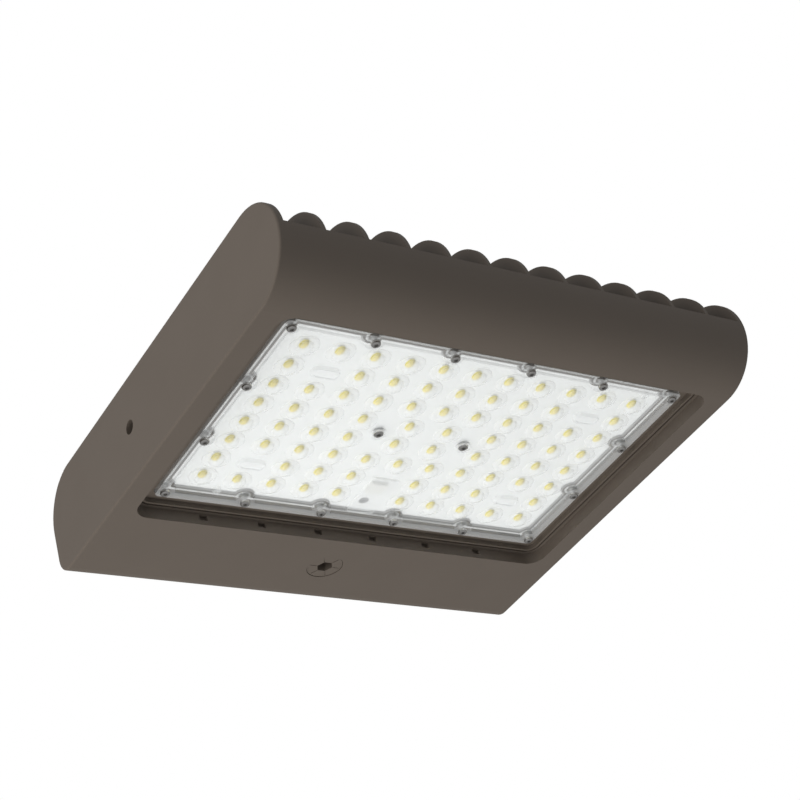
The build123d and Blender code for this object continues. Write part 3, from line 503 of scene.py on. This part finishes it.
def bake(carrier, name, crease=35.0):
    """Plain mesh of what the carrier's node tree makes, and the carrier removed."""
    graph = bpy.context.evaluated_depsgraph_get()
    graph.update()
    mesh = bpy.data.meshes.new_from_object(carrier.evaluated_get(graph))
    material = next(item for item in mesh.materials if item)
    bm = bmesh.new()
    bm.from_mesh(mesh)
    bpy.data.meshes.remove(mesh)
    bpy.data.objects.remove(carrier)
    for face in bm.faces:
        face.material_index = 0
    made = object_from(bm, name, crease)
    made.data.materials.append(material)
    return made


def repeat_piece(
    name, piece, places, material, turns=None, random_turn=0.0, seed=0, size=(1.0, 1.0, 1.0)
):
    """One piece at every place, as a plain mesh."""
    carrier = points_object(name + "_places", places, turns)
    modifier = carrier.modifiers.new("Repeat", "NODES")
    modifier.node_group = repeat_tree()
    set_input(modifier, "Piece", piece)
    set_input(modifier, "Size", size)
    set_input(modifier, "Random turn", random_turn)
    set_input(modifier, "Seed", seed)
    set_input(modifier, "Material", material)
    made = bake(carrier, name)
    bpy.data.objects.remove(piece)
    return made


# Materials


def shader(tree, kind, **values):
    """Shader node with its sockets set."""
    node = tree.nodes.new(kind)
    for label, value in values.items():
        node.inputs[label.replace("_", " ")].default_value = value
    return node


def grain_group():
    """Fine bumps and a slow drift of colour, for coats, plastics and castings."""
    made = bpy.data.node_groups.get("Surface grain")
    if made:
        return made
    tree = bpy.data.node_groups.new("Surface grain", "ShaderNodeTree")
    face = tree.interface
    face.new_socket("Vector", in_out="INPUT", socket_type="NodeSocketVector")
    for label in ("Color", "Drift color"):
        face.new_socket(label, in_out="INPUT", socket_type="NodeSocketColor")
    for label in ("Bumps per metre", "Drifts per metre", "Roughness", "Roughness spread"):
        face.new_socket(label, in_out="INPUT", socket_type="NodeSocketFloat")
    face.new_socket("Color", in_out="OUTPUT", socket_type="NodeSocketColor")
    face.new_socket("Roughness", in_out="OUTPUT", socket_type="NodeSocketFloat")
    face.new_socket("Height", in_out="OUTPUT", socket_type="NodeSocketFloat")
    start = tree.nodes.new("NodeGroupInput")
    end = tree.nodes.new("NodeGroupOutput")
    bumps = shader(tree, "ShaderNodeTexNoise", Detail=3.0, Roughness=0.55)
    drift = shader(tree, "ShaderNodeTexNoise", Detail=2.0, Roughness=0.5)
    mix = tree.nodes.new("ShaderNodeMix")
    mix.data_type = "RGBA"
    spread = tree.nodes.new("ShaderNodeMath")
    spread.operation = "SUBTRACT"
    spread.inputs[1].default_value = 0.5
    rough = tree.nodes.new("ShaderNodeMath")
    rough.operation = "MULTIPLY_ADD"
    link(tree, start.outputs["Vector"], bumps.inputs["Vector"])
    link(tree, start.outputs["Vector"], drift.inputs["Vector"])
    link(tree, start.outputs["Bumps per metre"], bumps.inputs["Scale"])
    link(tree, start.outputs["Drifts per metre"], drift.inputs["Scale"])
    link(tree, drift.outputs["Fac"], mix.inputs["Factor"])
    link(tree, start.outputs["Color"], mix.inputs[6])
    link(tree, start.outputs["Drift color"], mix.inputs[7])
    link(tree, mix.outputs[2], end.inputs["Color"])
    link(tree, drift.outputs["Fac"], spread.inputs[0])
    link(tree, spread.outputs["Value"], rough.inputs[0])
    link(tree, start.outputs["Roughness spread"], rough.inputs[1])
    link(tree, start.outputs["Roughness"], rough.inputs[2])
    link(tree, rough.outputs["Value"], end.inputs["Roughness"])
    link(tree, bumps.outputs["Fac"], end.inputs["Height"])
    return tree


def surface(
    name,
    color,
    drift_color,
    rough,
    spread,
    bump_width,
    bump_height,
    metallic=0.0,
    drift_width=30.0 * MM,
):
    """Material with surface grain in its colour, gloss and relief."""
    made = bpy.data.materials.get(name)
    if made:
        return made
    made = bpy.data.materials.new(name)
    made.use_nodes = True
    tree = made.node_tree
    tree.nodes.clear()
    place = tree.nodes.new("ShaderNodeTexCoord")
    grain = tree.nodes.new("ShaderNodeGroup")
    grain.node_tree = grain_group()
    grain.inputs["Color"].default_value = (*color, 1.0)
    grain.inputs["Drift color"].default_value = (*drift_color, 1.0)
    grain.inputs["Bumps per metre"].default_value = 1 / bump_width
    grain.inputs["Drifts per metre"].default_value = 1 / drift_width
    grain.inputs["Roughness"].default_value = rough
    grain.inputs["Roughness spread"].default_value = spread
    bump = shader(tree, "ShaderNodeBump", Strength=1.0, Distance=bump_height)
    main = shader(tree, "ShaderNodeBsdfPrincipled", Metallic=metallic)
    output = tree.nodes.new("ShaderNodeOutputMaterial")
    link(tree, place.outputs["Object"], grain.inputs["Vector"])
    link(tree, grain.outputs["Color"], main.inputs["Base Color"])
    link(tree, grain.outputs["Roughness"], main.inputs["Roughness"])
    link(tree, grain.outputs["Height"], bump.inputs["Height"])
    link(tree, bump.outputs["Normal"], main.inputs["Normal"])
    link(tree, main.outputs["BSDF"], output.inputs["Surface"])
    return made


def darker(color, share):
    """Colour with less light in it."""
    return tuple(c * share for c in color)


def powder_coat():
    """Bronze coat of the castings, with a fine orange peel."""
    coat = bpy.context.scene.coat
    return surface(
        "bronze_powder_coat",
        color=tuple(coat.bronze),
        drift_color=darker(coat.bronze, 0.94),
        rough=coat.roughness,
        spread=0.06,
        bump_width=coat.grain,
        bump_height=coat.grain_height,
    )


def clear_plastic():
    """Clear acrylic of the lens plate."""
    made = bpy.data.materials.get("clear_lens")
    if made:
        return made
    made = bpy.data.materials.new("clear_lens")
    made.use_nodes = True
    tree = made.node_tree
    tree.nodes.clear()
    main = shader(
        tree,
        "ShaderNodeBsdfPrincipled",
        Base_Color=(0.985, 0.995, 1.0, 1.0),
        Roughness=0.015,
        IOR=bpy.context.scene.lens_plate.index,
        Transmission_Weight=1.0,
    )
    output = tree.nodes.new("ShaderNodeOutputMaterial")
    link(tree, main.outputs["BSDF"], output.inputs["Surface"])
    return made


def stainless():
    """Steel of most screws, the hinge pins and the bracket nuts."""
    return surface(
        "stainless",
        color=(0.62, 0.61, 0.59),
        drift_color=(0.52, 0.51, 0.5),
        rough=0.28,
        spread=0.12,
        bump_width=0.4 * MM,
        bump_height=0.004 * MM,
        metallic=1.0,
        drift_width=4.0 * MM,
    )


def board_mask():
    """White mask of the LED board."""
    return surface(
        "white_board_mask",
        color=(0.93, 0.94, 0.93),
        drift_color=(0.9, 0.91, 0.9),
        rough=0.35,
        spread=0.05,
        bump_width=1.2 * MM,
        bump_height=0.004 * MM,
    )


def package_ceramic():
    """White body of the LED packages."""
    return surface(
        "led_ceramic",
        color=(0.92, 0.92, 0.9),
        drift_color=(0.86, 0.86, 0.84),
        rough=0.45,
        spread=0.05,
        bump_width=0.3 * MM,
        bump_height=0.003 * MM,
    )


def yellow_phosphor():
    """Yellow fill of the LED packages."""
    tone = bpy.context.scene.light_sources.phosphor
    return surface(
        "yellow_phosphor",
        color=tuple(tone),
        drift_color=darker(tone, 0.9),
        rough=0.55,
        spread=0.1,
        bump_width=0.15 * MM,
        bump_height=0.01 * MM,
    )


def light_plastic():
    """Nylon of the connector on the board."""
    return surface(
        "white_nylon",
        color=(0.86, 0.86, 0.82),
        drift_color=(0.8, 0.8, 0.76),
        rough=0.4,
        spread=0.08,
        bump_width=0.5 * MM,
        bump_height=0.006 * MM,
    )


def pale_silicone():
    """Silicone of the lens gasket."""
    return surface(
        "pale_silicone",
        color=(0.8, 0.81, 0.8),
        drift_color=(0.74, 0.75, 0.74),
        rough=0.6,
        spread=0.08,
        bump_width=0.6 * MM,
        bump_height=0.01 * MM,
    )


def grey_rubber():
    """Rubber of the grommet and the cover gasket."""
    return surface(
        "grey_rubber",
        color=(0.2, 0.2, 0.2),
        drift_color=(0.16, 0.16, 0.16),
        rough=0.7,
        spread=0.1,
        bump_width=0.4 * MM,
        bump_height=0.012 * MM,
    )


def grey_pad():
    """Soft pad between the board and the casting."""
    return surface(
        "grey_pad",
        color=(0.17, 0.18, 0.2),
        drift_color=(0.14, 0.15, 0.17),
        rough=0.8,
        spread=0.08,
        bump_width=0.4 * MM,
        bump_height=0.02 * MM,
    )


def black_rubber():
    """Rubber of the plug's seal and the gland's insert."""
    return surface(
        "black_rubber",
        color=(0.022, 0.022, 0.022),
        drift_color=(0.03, 0.03, 0.029),
        rough=0.72,
        spread=0.1,
        bump_width=0.3 * MM,
        bump_height=0.01 * MM,
    )


def black_nylon():
    """Nylon of the cable gland and the vent."""
    return surface(
        "black_nylon",
        color=(0.02, 0.02, 0.021),
        drift_color=(0.028, 0.028, 0.029),
        rough=0.5,
        spread=0.1,
        bump_width=0.35 * MM,
        bump_height=0.012 * MM,
    )


def brushed_aluminium():
    """Case of the driver."""
    return surface(
        "brushed_aluminium",
        color=(0.66, 0.67, 0.68),
        drift_color=(0.56, 0.57, 0.58),
        rough=0.4,
        spread=0.12,
        bump_width=0.5 * MM,
        bump_height=0.006 * MM,
        metallic=1.0,
    )


def red_epoxy():
    """Shell of the surge arrester."""
    return surface(
        "red_epoxy",
        color=(0.3, 0.02, 0.012),
        drift_color=(0.24, 0.016, 0.01),
        rough=0.35,
        spread=0.08,
        bump_width=0.9 * MM,
        bump_height=0.01 * MM,
    )


def terminal_plastic():
    """Body of the terminal block."""
    return surface(
        "terminal_plastic",
        color=(0.5, 0.5, 0.47),
        drift_color=(0.44, 0.44, 0.41),
        rough=0.5,
        spread=0.08,
        bump_width=0.4 * MM,
        bump_height=0.01 * MM,
    )


def brass():
    """Brass of the terminal screws."""
    return surface(
        "brass",
        color=(0.72, 0.5, 0.2),
        drift_color=(0.6, 0.4, 0.15),
        rough=0.3,
        spread=0.1,
        bump_width=0.4 * MM,
        bump_height=0.006 * MM,
        metallic=1.0,
        drift_width=3.0 * MM,
    )


def green_zinc():
    """Green zinc of the ground screw."""
    return surface(
        "green_zinc",
        color=(0.03, 0.26, 0.07),
        drift_color=(0.02, 0.2, 0.05),
        rough=0.4,
        spread=0.1,
        bump_width=0.4 * MM,
        bump_height=0.006 * MM,
        metallic=0.6,
    )


def paint_node(name, material):
    """Gives a CAD node its finish."""
    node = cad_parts[name]
    node.data.materials.clear()
    node.data.materials.append(material)


# Screws


def screw_head(name, head, height, socket, socket_depth):
    """Screw with a domed head and a lobed socket, its seat at zero and its head up."""
    sizes = bpy.context.scene.fasteners
    steps = 36
    levels = 5
    upright = 0.3
    crown_inset = 0.16
    crown_power = 2.2
    lobes = 6
    lobe_depth = 0.12
    point_depth = 0.12
    bm = bmesh.new()
    profile = [(head / 2, 0.0), (head / 2, height * upright)]
    for i in range(1, levels + 1):
        share = i / levels
        radius = head / 2 - head * crown_inset * share**crown_power
        profile.append((radius, height * (upright + (1 - upright) * sin(share * pi / 2))))
    rings = [ring(bm, circle_line((0, 0), sizes.shank / 2, steps), -sizes.reach)]
    rings.append(ring(bm, circle_line((0, 0), sizes.shank / 2, steps), 0.0))
    rings += [ring(bm, circle_line((0, 0), radius, steps), z) for radius, z in profile]
    outline = []
    for i in range(steps):
        angle = tau * i / steps
        radius = socket / 2 * (1 - lobe_depth + lobe_depth * cos(lobes * angle))
        outline.append((radius * cos(angle), radius * sin(angle)))
    rings.append(ring(bm, outline, height))
    rings.append(ring(bm, outline, height - socket_depth))
    skirt(bm, rings)
    peak(bm, rings[-1], height - socket_depth - socket * point_depth)
    peak(bm, rings[0], -sizes.reach)
    return object_from(bm, name, 30.0)


# Lens plate


def dome_unit():
    """One lens element: a low round skirt, an oval bulb over the light source, and the hollow behind."""
    sizes = bpy.context.scene.lens_plate
    steps = sizes.dome_steps
    foot = sizes.dome_diameter
    levels = 9
    bm = bmesh.new()
    rings = []
    for inset, rise in SKIRT_PROFILE:
        rings.append(ring(bm, circle_line((0, 0), foot / 2 - inset * MM, steps), FIELD_Z - rise * MM))
    bulb_z = FIELD_Z - sizes.bulb_foot
    height = bulb_z - lens_low.z
    for i in range(1, levels):
        angle = pi / 2 * i / levels
        outline = oval_line((0, 0), sizes.bulb_width * cos(angle), sizes.bulb_length * cos(angle), steps)
        rings.append(ring(bm, outline, bulb_z - height * sin(angle)))
    skirt(bm, rings)
    peak(bm, rings[-1], lens_low.z)
    rings = []
    for i in range(levels):
        angle = pi / 2 * i / levels
        outline = oval_line(
            (0, 0), sizes.cavity_width * cos(angle), sizes.cavity_length * cos(angle), steps
        )
        rings.append(ring(bm, outline, POCKET_Z - sizes.cavity_height * sin(angle)))
    skirt(bm, rings)
    peak(bm, rings[-1], POCKET_Z - sizes.cavity_height)
    return object_from(bm, "dome_unit", 50.0, outward=False)


def profile_rings(bm, outline, profile):
    """Loops of outline(inset), one for each inset and height of the profile."""
    return [ring(bm, outline(inset), z) for inset, z in profile]


def field_form(bm, outline, profile):
    """Closed form that stands on the field; gives its foot."""
    rings = profile_rings(bm, outline, [(inset * MM, FIELD_Z - rise * MM) for inset, rise in profile])
    skirt(bm, rings)
    sheet(bm, rings[-1])
    return rings[0]


def window_line(inset):
    """Outline of the connector window."""
    size = (window_size[0] - 2 * inset, window_size[1] - 2 * inset)
    return rounded_line(window_centre, size, WINDOW_CORNER - inset)


def raised_forms(bm):
    """Posts, pins, connector window and screw bosses on the field; gives their feet on both faces."""
    pin_steps = 24
    fronts = []
    for spot in post_spots:
        fronts.append(
            field_form(
                bm,
                lambda inset: slot_line(spot, POST_SIZE[0] - 2 * inset, POST_SIZE[1] - 2 * inset),
                POST_PROFILE,
            )
        )
    for spot in pin_spots:
        fronts.append(
            field_form(
                bm,
                lambda inset: circle_line(spot, PIN_RADIUS - inset, pin_steps),
                PIN_PROFILE,
            )
        )
    fronts.append(field_form(bm, window_line, WINDOW_PROFILE))
    hollow = profile_rings(
        bm,
        window_line,
        (
            (WINDOW_SKIN, POCKET_Z),
            (WINDOW_SKIN + 0.1 * MM, FIELD_Z),
            (WINDOW_SKIN + 0.4 * MM, FIELD_Z - 0.4 * MM),
        ),
    )
    skirt(bm, hollow)
    sheet(bm, hollow[-1])
    backs = [hollow[0]]
    for spot in board_screw_spots:
        rings = boss_rings(bm, spot)
        fronts.append(rings[0])
        backs.append(rings[-1])
    return fronts, backs


def boss_rings(bm, spot):
    """Round boss with the seat and hole of a board screw, from the field to the pocket behind."""
    steps = 28
    profile = (
        (5.0 * MM, FIELD_Z),
        (4.8 * MM, FIELD_Z - 1.0 * MM),
        (4.4 * MM, FIELD_Z - 1.2 * MM),
        (3.6 * MM, FIELD_Z - 1.2 * MM),
        (3.3 * MM, FIELD_Z - 0.9 * MM),
        (3.2 * MM, BOARD_SCREW_Z),
        (SCREW_HOLE_RADIUS, BOARD_SCREW_Z),
        (SCREW_HOLE_RADIUS, BOARD_Z),
        (4.2 * MM, BOARD_Z),
        (4.2 * MM, POCKET_Z),
    )
    rings = [ring(bm, circle_line(spot, radius, steps), z) for radius, z in profile]
    skirt(bm, rings)
    return rings


def plate_side(bm):
    """Loops of the plate's outer side, from the gasket to the front of the border."""

    def edge(inset):
        size = (lens_size[0] - 2 * inset, lens_size[1] - 2 * inset)
        return rounded_line((0.0, LIGHT_Y), size, LENS_CORNER - inset)

    profile = (
        (0.0, BED_Z),
        (0.0, FLANGE_Z + 0.5 * MM),
        (0.15 * MM, FLANGE_Z + 0.15 * MM),
        (0.5 * MM, FLANGE_Z),
    )
    return profile_rings(bm, edge, profile)


def border_wall(bm):
    """Loops of the border's drafted inner wall, from its front down to the field."""
    sizes = bpy.context.scene.lens_plate
    draft = sizes.flange_draft

    def wall(inset):
        return lens_line(sizes.flange_width + inset, sizes.scallop_radius + inset)

    profile = (
        (-0.35 * MM, FLANGE_Z),
        (-0.1 * MM, FLANGE_Z + 0.12 * MM),
        (0.0, FLANGE_Z + 0.4 * MM),
        (draft - 0.2 * MM, FIELD_Z - 0.6 * MM),
        (draft, FIELD_Z - 0.2 * MM),
        (draft + 0.5 * MM, FIELD_Z),
    )
    return profile_rings(bm, wall, profile)


def back_step(bm):
    """Loops behind the plate, from the gasket in over the board to the pocket for the packages."""
    border = 6.4 * MM
    scallop = 6.2 * MM

    def back(inset):
        return lens_line(border + inset, scallop + inset)

    profile = (
        (0.0, BED_Z),
        (0.1 * MM, BACK_Z - 0.3 * MM),
        (0.4 * MM, BACK_Z),
        (2.0 * MM, BACK_Z),
        (2.3 * MM, POCKET_Z),
    )
    return profile_rings(bm, back, profile)


def plate_sheet():
    """The lens plate without its domes: raised border, field, and the forms on the field."""
    sizes = bpy.context.scene.lens_plate
    steps = sizes.dome_steps
    spots = led_spots()
    bm = bmesh.new()
    side = plate_side(bm)
    skirt(bm, side)
    inner = border_wall(bm)
    skirt(bm, inner)
    screw_steps = 16
    screw_front = []
    screw_back = []
    for spot in lens_screw_spots:
        outline = circle_line(spot, SCREW_HOLE_RADIUS, screw_steps)
        rings = [ring(bm, outline, z) for z in (FLANGE_Z, BED_Z)]
        skirt(bm, rings)
        screw_front.append(rings[0])
        screw_back.append(rings[1])
    sheet(bm, side[-1], [inner[0], *screw_front])
    fronts, backs = raised_forms(bm)
    domes = [ring(bm, circle_line(spot, sizes.dome_diameter / 2, steps), FIELD_Z) for spot in spots]
    sheet(bm, inner[-1], [*domes, *fronts])
    behind = back_step(bm)
    skirt(bm, behind)
    sheet(bm, side[0], [behind[0], *screw_back])
    hollows = [
        ring(bm, oval_line(spot, sizes.cavity_width, sizes.cavity_length, steps), POCKET_Z)
        for spot in spots
    ]
    sheet(bm, behind[-1], [*hollows, *backs])
    return object_from(bm, "plate_sheet", 35.0, outward=False)


# Operators, one for each group of pieces


class FLOOD_OT_castings(bpy.types.Operator):
    """Powder coat on the body, the compartment cover and the sensor plug."""

    bl_idname = "flood.castings"
    bl_label = "Castings"

    def execute(self, context):
        for name in ("housing", "driver_cover", "sensor_plug"):
            paint_node(name, powder_coat())
        return {"FINISHED"}


class FLOOD_OT_lens_plate(bpy.types.Operator):
    """Clear lens plate with domes and a border that steps back round each screw."""

    bl_idname = "flood.lens_plate"
    bl_label = "Lens plate"

    def execute(self, context):
        plate = plate_sheet()
        dome = dome_unit()
        carrier = points_object("lens_places", [(x, y, 0.0) for x, y in led_spots()])
        modifier = carrier.modifiers.new("Lens plate", "NODES")
        modifier.node_group = lens_tree()
        set_input(modifier, "Plate", plate)
        set_input(modifier, "Dome", dome)
        set_input(modifier, "Weld", 0.01 * MM)
        set_input(modifier, "Material", clear_plastic())
        made = bake(carrier, "domed_lens_plate")
        for part in (plate, dome):
            bpy.data.objects.remove(part)
        # the plate casts no shadow, so that the lamps light the board behind it
        made.visible_shadow = False
        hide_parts("lens")
        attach(made, "body")
        return {"FINISHED"}


class FLOOD_OT_light_sources(bpy.types.Operator):
    """White LED packages and the yellow fill in each."""

    bl_idname = "flood.light_sources"
    bl_label = "Light sources"

    def execute(self, context):
        sizes = context.scene.light_sources
        places = [(x, y, 0.0) for x, y in led_spots()]
        package = self.package_unit(sizes)
        packages = repeat_piece("led_packages", package, places, package_ceramic())
        unit = self.phosphor_unit(sizes)
        fills = repeat_piece("led_phosphors", unit, places, yellow_phosphor())
        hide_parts("leds")
        for piece in (packages, fills):
            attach(piece, "body")
        return {"FINISHED"}

    def package_unit(self, sizes):
        """White square package with chamfered top edges."""
        corner = 0.3 * MM
        corner_steps = 5
        chamfer_height = 0.1 * MM
        top_share = 0.97
        bm = bmesh.new()
        full = rounded_line((0, 0), (sizes.package, sizes.package), corner, corner_steps)
        top_size = sizes.package * top_share
        top = rounded_line((0, 0), (top_size, top_size), corner, corner_steps)
        rings = [
            ring(bm, full, BOARD_Z),
            ring(bm, full, LED_Z + chamfer_height),
            ring(bm, top, LED_Z),
        ]
        skirt(bm, rings)
        sheet(bm, rings[0])
        sheet(bm, rings[-1])
        return object_from(bm, "package_unit")

    def phosphor_unit(self, sizes):
        """Crowned yellow fill over a package."""
        levels = 7
        steps = 24
        base_z = LED_Z + 0.05 * MM
        bm = bmesh.new()
        rings = []
        for i in range(levels):
            angle = pi / 2 * i / levels
            outline = oval_line(
                (0, 0), sizes.phosphor_width * cos(angle), sizes.phosphor_length * cos(angle), steps
            )
            rings.append(ring(bm, outline, base_z - sizes.phosphor_rise * sin(angle)))
        skirt(bm, rings)
        peak(bm, rings[-1], base_z - sizes.phosphor_rise)
        sheet(bm, rings[0])
        return object_from(bm, "phosphor_unit")


class FLOOD_OT_board(bpy.types.Operator):
    """White board mask, connector, pad and seals."""

    bl_idname = "flood.board"
    bl_label = "Board and seals"

    def execute(self, context):
        finishes = {
            "led_board": board_mask(),
            "board_connector": light_plastic(),
            "thermal_pad": grey_pad(),
            "lens_gasket": pale_silicone(),
            "lead_grommet": grey_rubber(),
            "cover_gasket": grey_rubber(),
            "plug_seal": black_rubber(),
        }
        for name, material in finishes.items():
            paint_node(name, material)
        return {"FINISHED"}


class FLOOD_OT_screws(bpy.types.Operator):
    """Screws with lobed sockets in the lens and the board, and the finish of the other screws."""

    bl_idname = "flood.screws"
    bl_label = "Screws"

    def execute(self, context):
        sizes = context.scene.fasteners
        unit = screw_head(
            "lens_screw_unit",
            sizes.lens_head,
            sizes.lens_head_height,
            sizes.lens_socket,
            sizes.lens_socket_depth,
        )
        made = self.seat_screws("lens_socket_screws", unit, lens_screw_spots, FLANGE_Z, sizes.turn_seed)
        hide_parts("lens_screws")
        unit = screw_head(
            "board_screw_unit",
            sizes.board_head,
            sizes.board_head_height,
            sizes.board_socket,
            sizes.board_socket_depth,
        )
        made = self.seat_screws(
            "board_socket_screws", unit, board_screw_spots, BOARD_SCREW_Z, sizes.turn_seed + 1
        )
        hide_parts("board_screws")
        for name in ("driver_screws", "arrester_screws", "hinge_pins", "cover_screws", "bracket_nuts"):
            paint_node(name, stainless())
        paint_node("ground_screw", green_zinc())
        paint_node("terminal_screws", brass())
        return {"FINISHED"}

    def seat_screws(self, name, unit, spots, seat_z, seed):
        """One screw at each spot, its head out of the lens face and its socket turned at random."""
        places = [(x, y, seat_z) for x, y in spots]
        turns = [(pi, 0.0, 0.0)] * len(places)
        made = repeat_piece(name, unit, places, stainless(), turns, tau, seed)
        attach(made, "body")
        return made


class FLOOD_OT_compartment(bpy.types.Operator):
    """Finishes of the driver, the surge arrester, the terminal block, the vent and the gland."""

    bl_idname = "flood.compartment"
    bl_label = "Compartment"

    def execute(self, context):
        finishes = {
            "driver": brushed_aluminium(),
            "surge_arrester": red_epoxy(),
            "terminal_block": terminal_plastic(),
            "pressure_vent": black_nylon(),
            "gland_body": black_nylon(),
            "gland_nut": black_nylon(),
            "gland_locknut": black_nylon(),
            "gland_insert": black_rubber(),
        }
        for name, material in finishes.items():
            paint_node(name, material)
        return {"FINISHED"}


class FLOOD_OT_stage(bpy.types.Operator):
    """Camera, floor, lamps and plain surroundings."""

    bl_idname = "flood.stage"
    bl_label = "Stage"

    def execute(self, context):
        scene = context.scene
        studio = scene.studio
        camera_data = bpy.data.cameras.new("camera")
        camera_data.lens = studio.lens_focal
        camera_data.sensor_width = SENSOR_WIDTH
        camera = bpy.data.objects.new("camera", camera_data)
        turn = Matrix((CAMERA_RIGHT, CAMERA_UP, CAMERA_BACK)).transposed().to_4x4()
        camera.matrix_world = Matrix.Translation(CAMERA_PLACE) @ turn
        scene.collection.objects.link(camera)
        scene.camera = camera
        self.make_floor(studio)
        self.make_sky(scene, studio)
        self.make_lamp(scene, "side_lamp", studio.side_lamp, SIDE_LAMP_WIDTH, SIDE_LAMP_PLACE)
        self.make_lamp(scene, "low_lamp", studio.low_lamp, LOW_LAMP_WIDTH, LOW_LAMP_PLACE)
        scene.view_settings.view_transform = "Standard"
        return {"FINISHED"}

    def make_floor(self, studio):
        """Plain pale floor under the light."""
        bm = bmesh.new()
        bmesh.ops.create_grid(bm, x_segments=1, y_segments=1, size=FLOOR_HALF)
        bmesh.ops.translate(bm, verts=bm.verts, vec=(0.0, 0.0, FLOOR_Z))
        floor = object_from(bm, "floor", outward=False)
        material = bpy.data.materials.new("plain_floor")
        material.use_nodes = True
        main = material.node_tree.nodes["Principled BSDF"]
        main.inputs["Base Color"].default_value = (*studio.floor, 1.0)
        main.inputs["Roughness"].default_value = 0.9
        floor.data.materials.append(material)

    def make_sky(self, scene, studio):
        """Surroundings that look white to the camera and light the pieces softly."""
        world = bpy.data.worlds.new("plain_sky")
        scene.world = world
        world.use_nodes = True
        tree = world.node_tree
        tree.nodes.clear()
        path = tree.nodes.new("ShaderNodeLightPath")
        seen = shader(tree, "ShaderNodeBackground", Color=(1.0, 1.0, 1.0, 1.0), Strength=1.0)
        light = shader(tree, "ShaderNodeBackground", Color=(1.0, 1.0, 1.0, 1.0), Strength=studio.sky)
        mix = tree.nodes.new("ShaderNodeMixShader")
        output = tree.nodes.new("ShaderNodeOutputWorld")
        link(tree, path.outputs["Is Camera Ray"], mix.inputs["Fac"])
        link(tree, light.outputs["Background"], mix.inputs[1])
        link(tree, seen.outputs["Background"], mix.inputs[2])
        link(tree, mix.outputs["Shader"], output.inputs["Surface"])

    def make_lamp(self, scene, name, power, size, place):
        """Square lamp that points at the origin and shows in no reflection."""
        data = bpy.data.lights.new(name, "AREA")
        data.energy = power
        data.shape = "SQUARE"
        data.size = size
        lamp = bpy.data.objects.new(name, data)
        lamp.location = place
        lamp.rotation_mode = "QUATERNION"
        lamp.rotation_quaternion = (-Vector(place)).to_track_quat("-Z", "Y")
        lamp.visible_camera = False
        lamp.visible_glossy = False
        scene.collection.objects.link(lamp)


class FLOOD_PT_pieces(bpy.types.Panel):
    """Lists the pieces that this add-on makes."""

    bl_label = "Flood light"
    bl_space_type = "VIEW_3D"
    bl_region_type = "UI"
    bl_category = "Flood light"

    def draw(self, context):
        for operator in OPERATORS:
            self.layout.operator(operator.bl_idname)


SETTINGS = {
    "coat": CoatSettings,
    "lens_plate": LensSettings,
    "light_sources": LightSourceSettings,
    "fasteners": FastenerSettings,
    "studio": StudioSettings,
}
OPERATORS = (
    FLOOD_OT_stage,
    FLOOD_OT_castings,
    FLOOD_OT_lens_plate,
    FLOOD_OT_light_sources,
    FLOOD_OT_board,
    FLOOD_OT_screws,
    FLOOD_OT_compartment,
)


def register():
    for name, group in SETTINGS.items():
        bpy.utils.register_class(group)
        setattr(bpy.types.Scene, name, PointerProperty(type=group))
    for item in (*OPERATORS, FLOOD_PT_pieces):
        bpy.utils.register_class(item)


def unregister():
    for item in (FLOOD_PT_pieces, *reversed(OPERATORS)):
        bpy.utils.unregister_class(item)
    for name, group in SETTINGS.items():
        delattr(bpy.types.Scene, name)
        bpy.utils.unregister_class(group)


def main():
    register()
    bpy.ops.flood.stage()
    bpy.ops.flood.castings()
    bpy.ops.flood.lens_plate()
    bpy.ops.flood.light_sources()
    bpy.ops.flood.board()
    bpy.ops.flood.screws()
    bpy.ops.flood.compartment()
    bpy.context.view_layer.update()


if __name__ == "__main__":
    main()
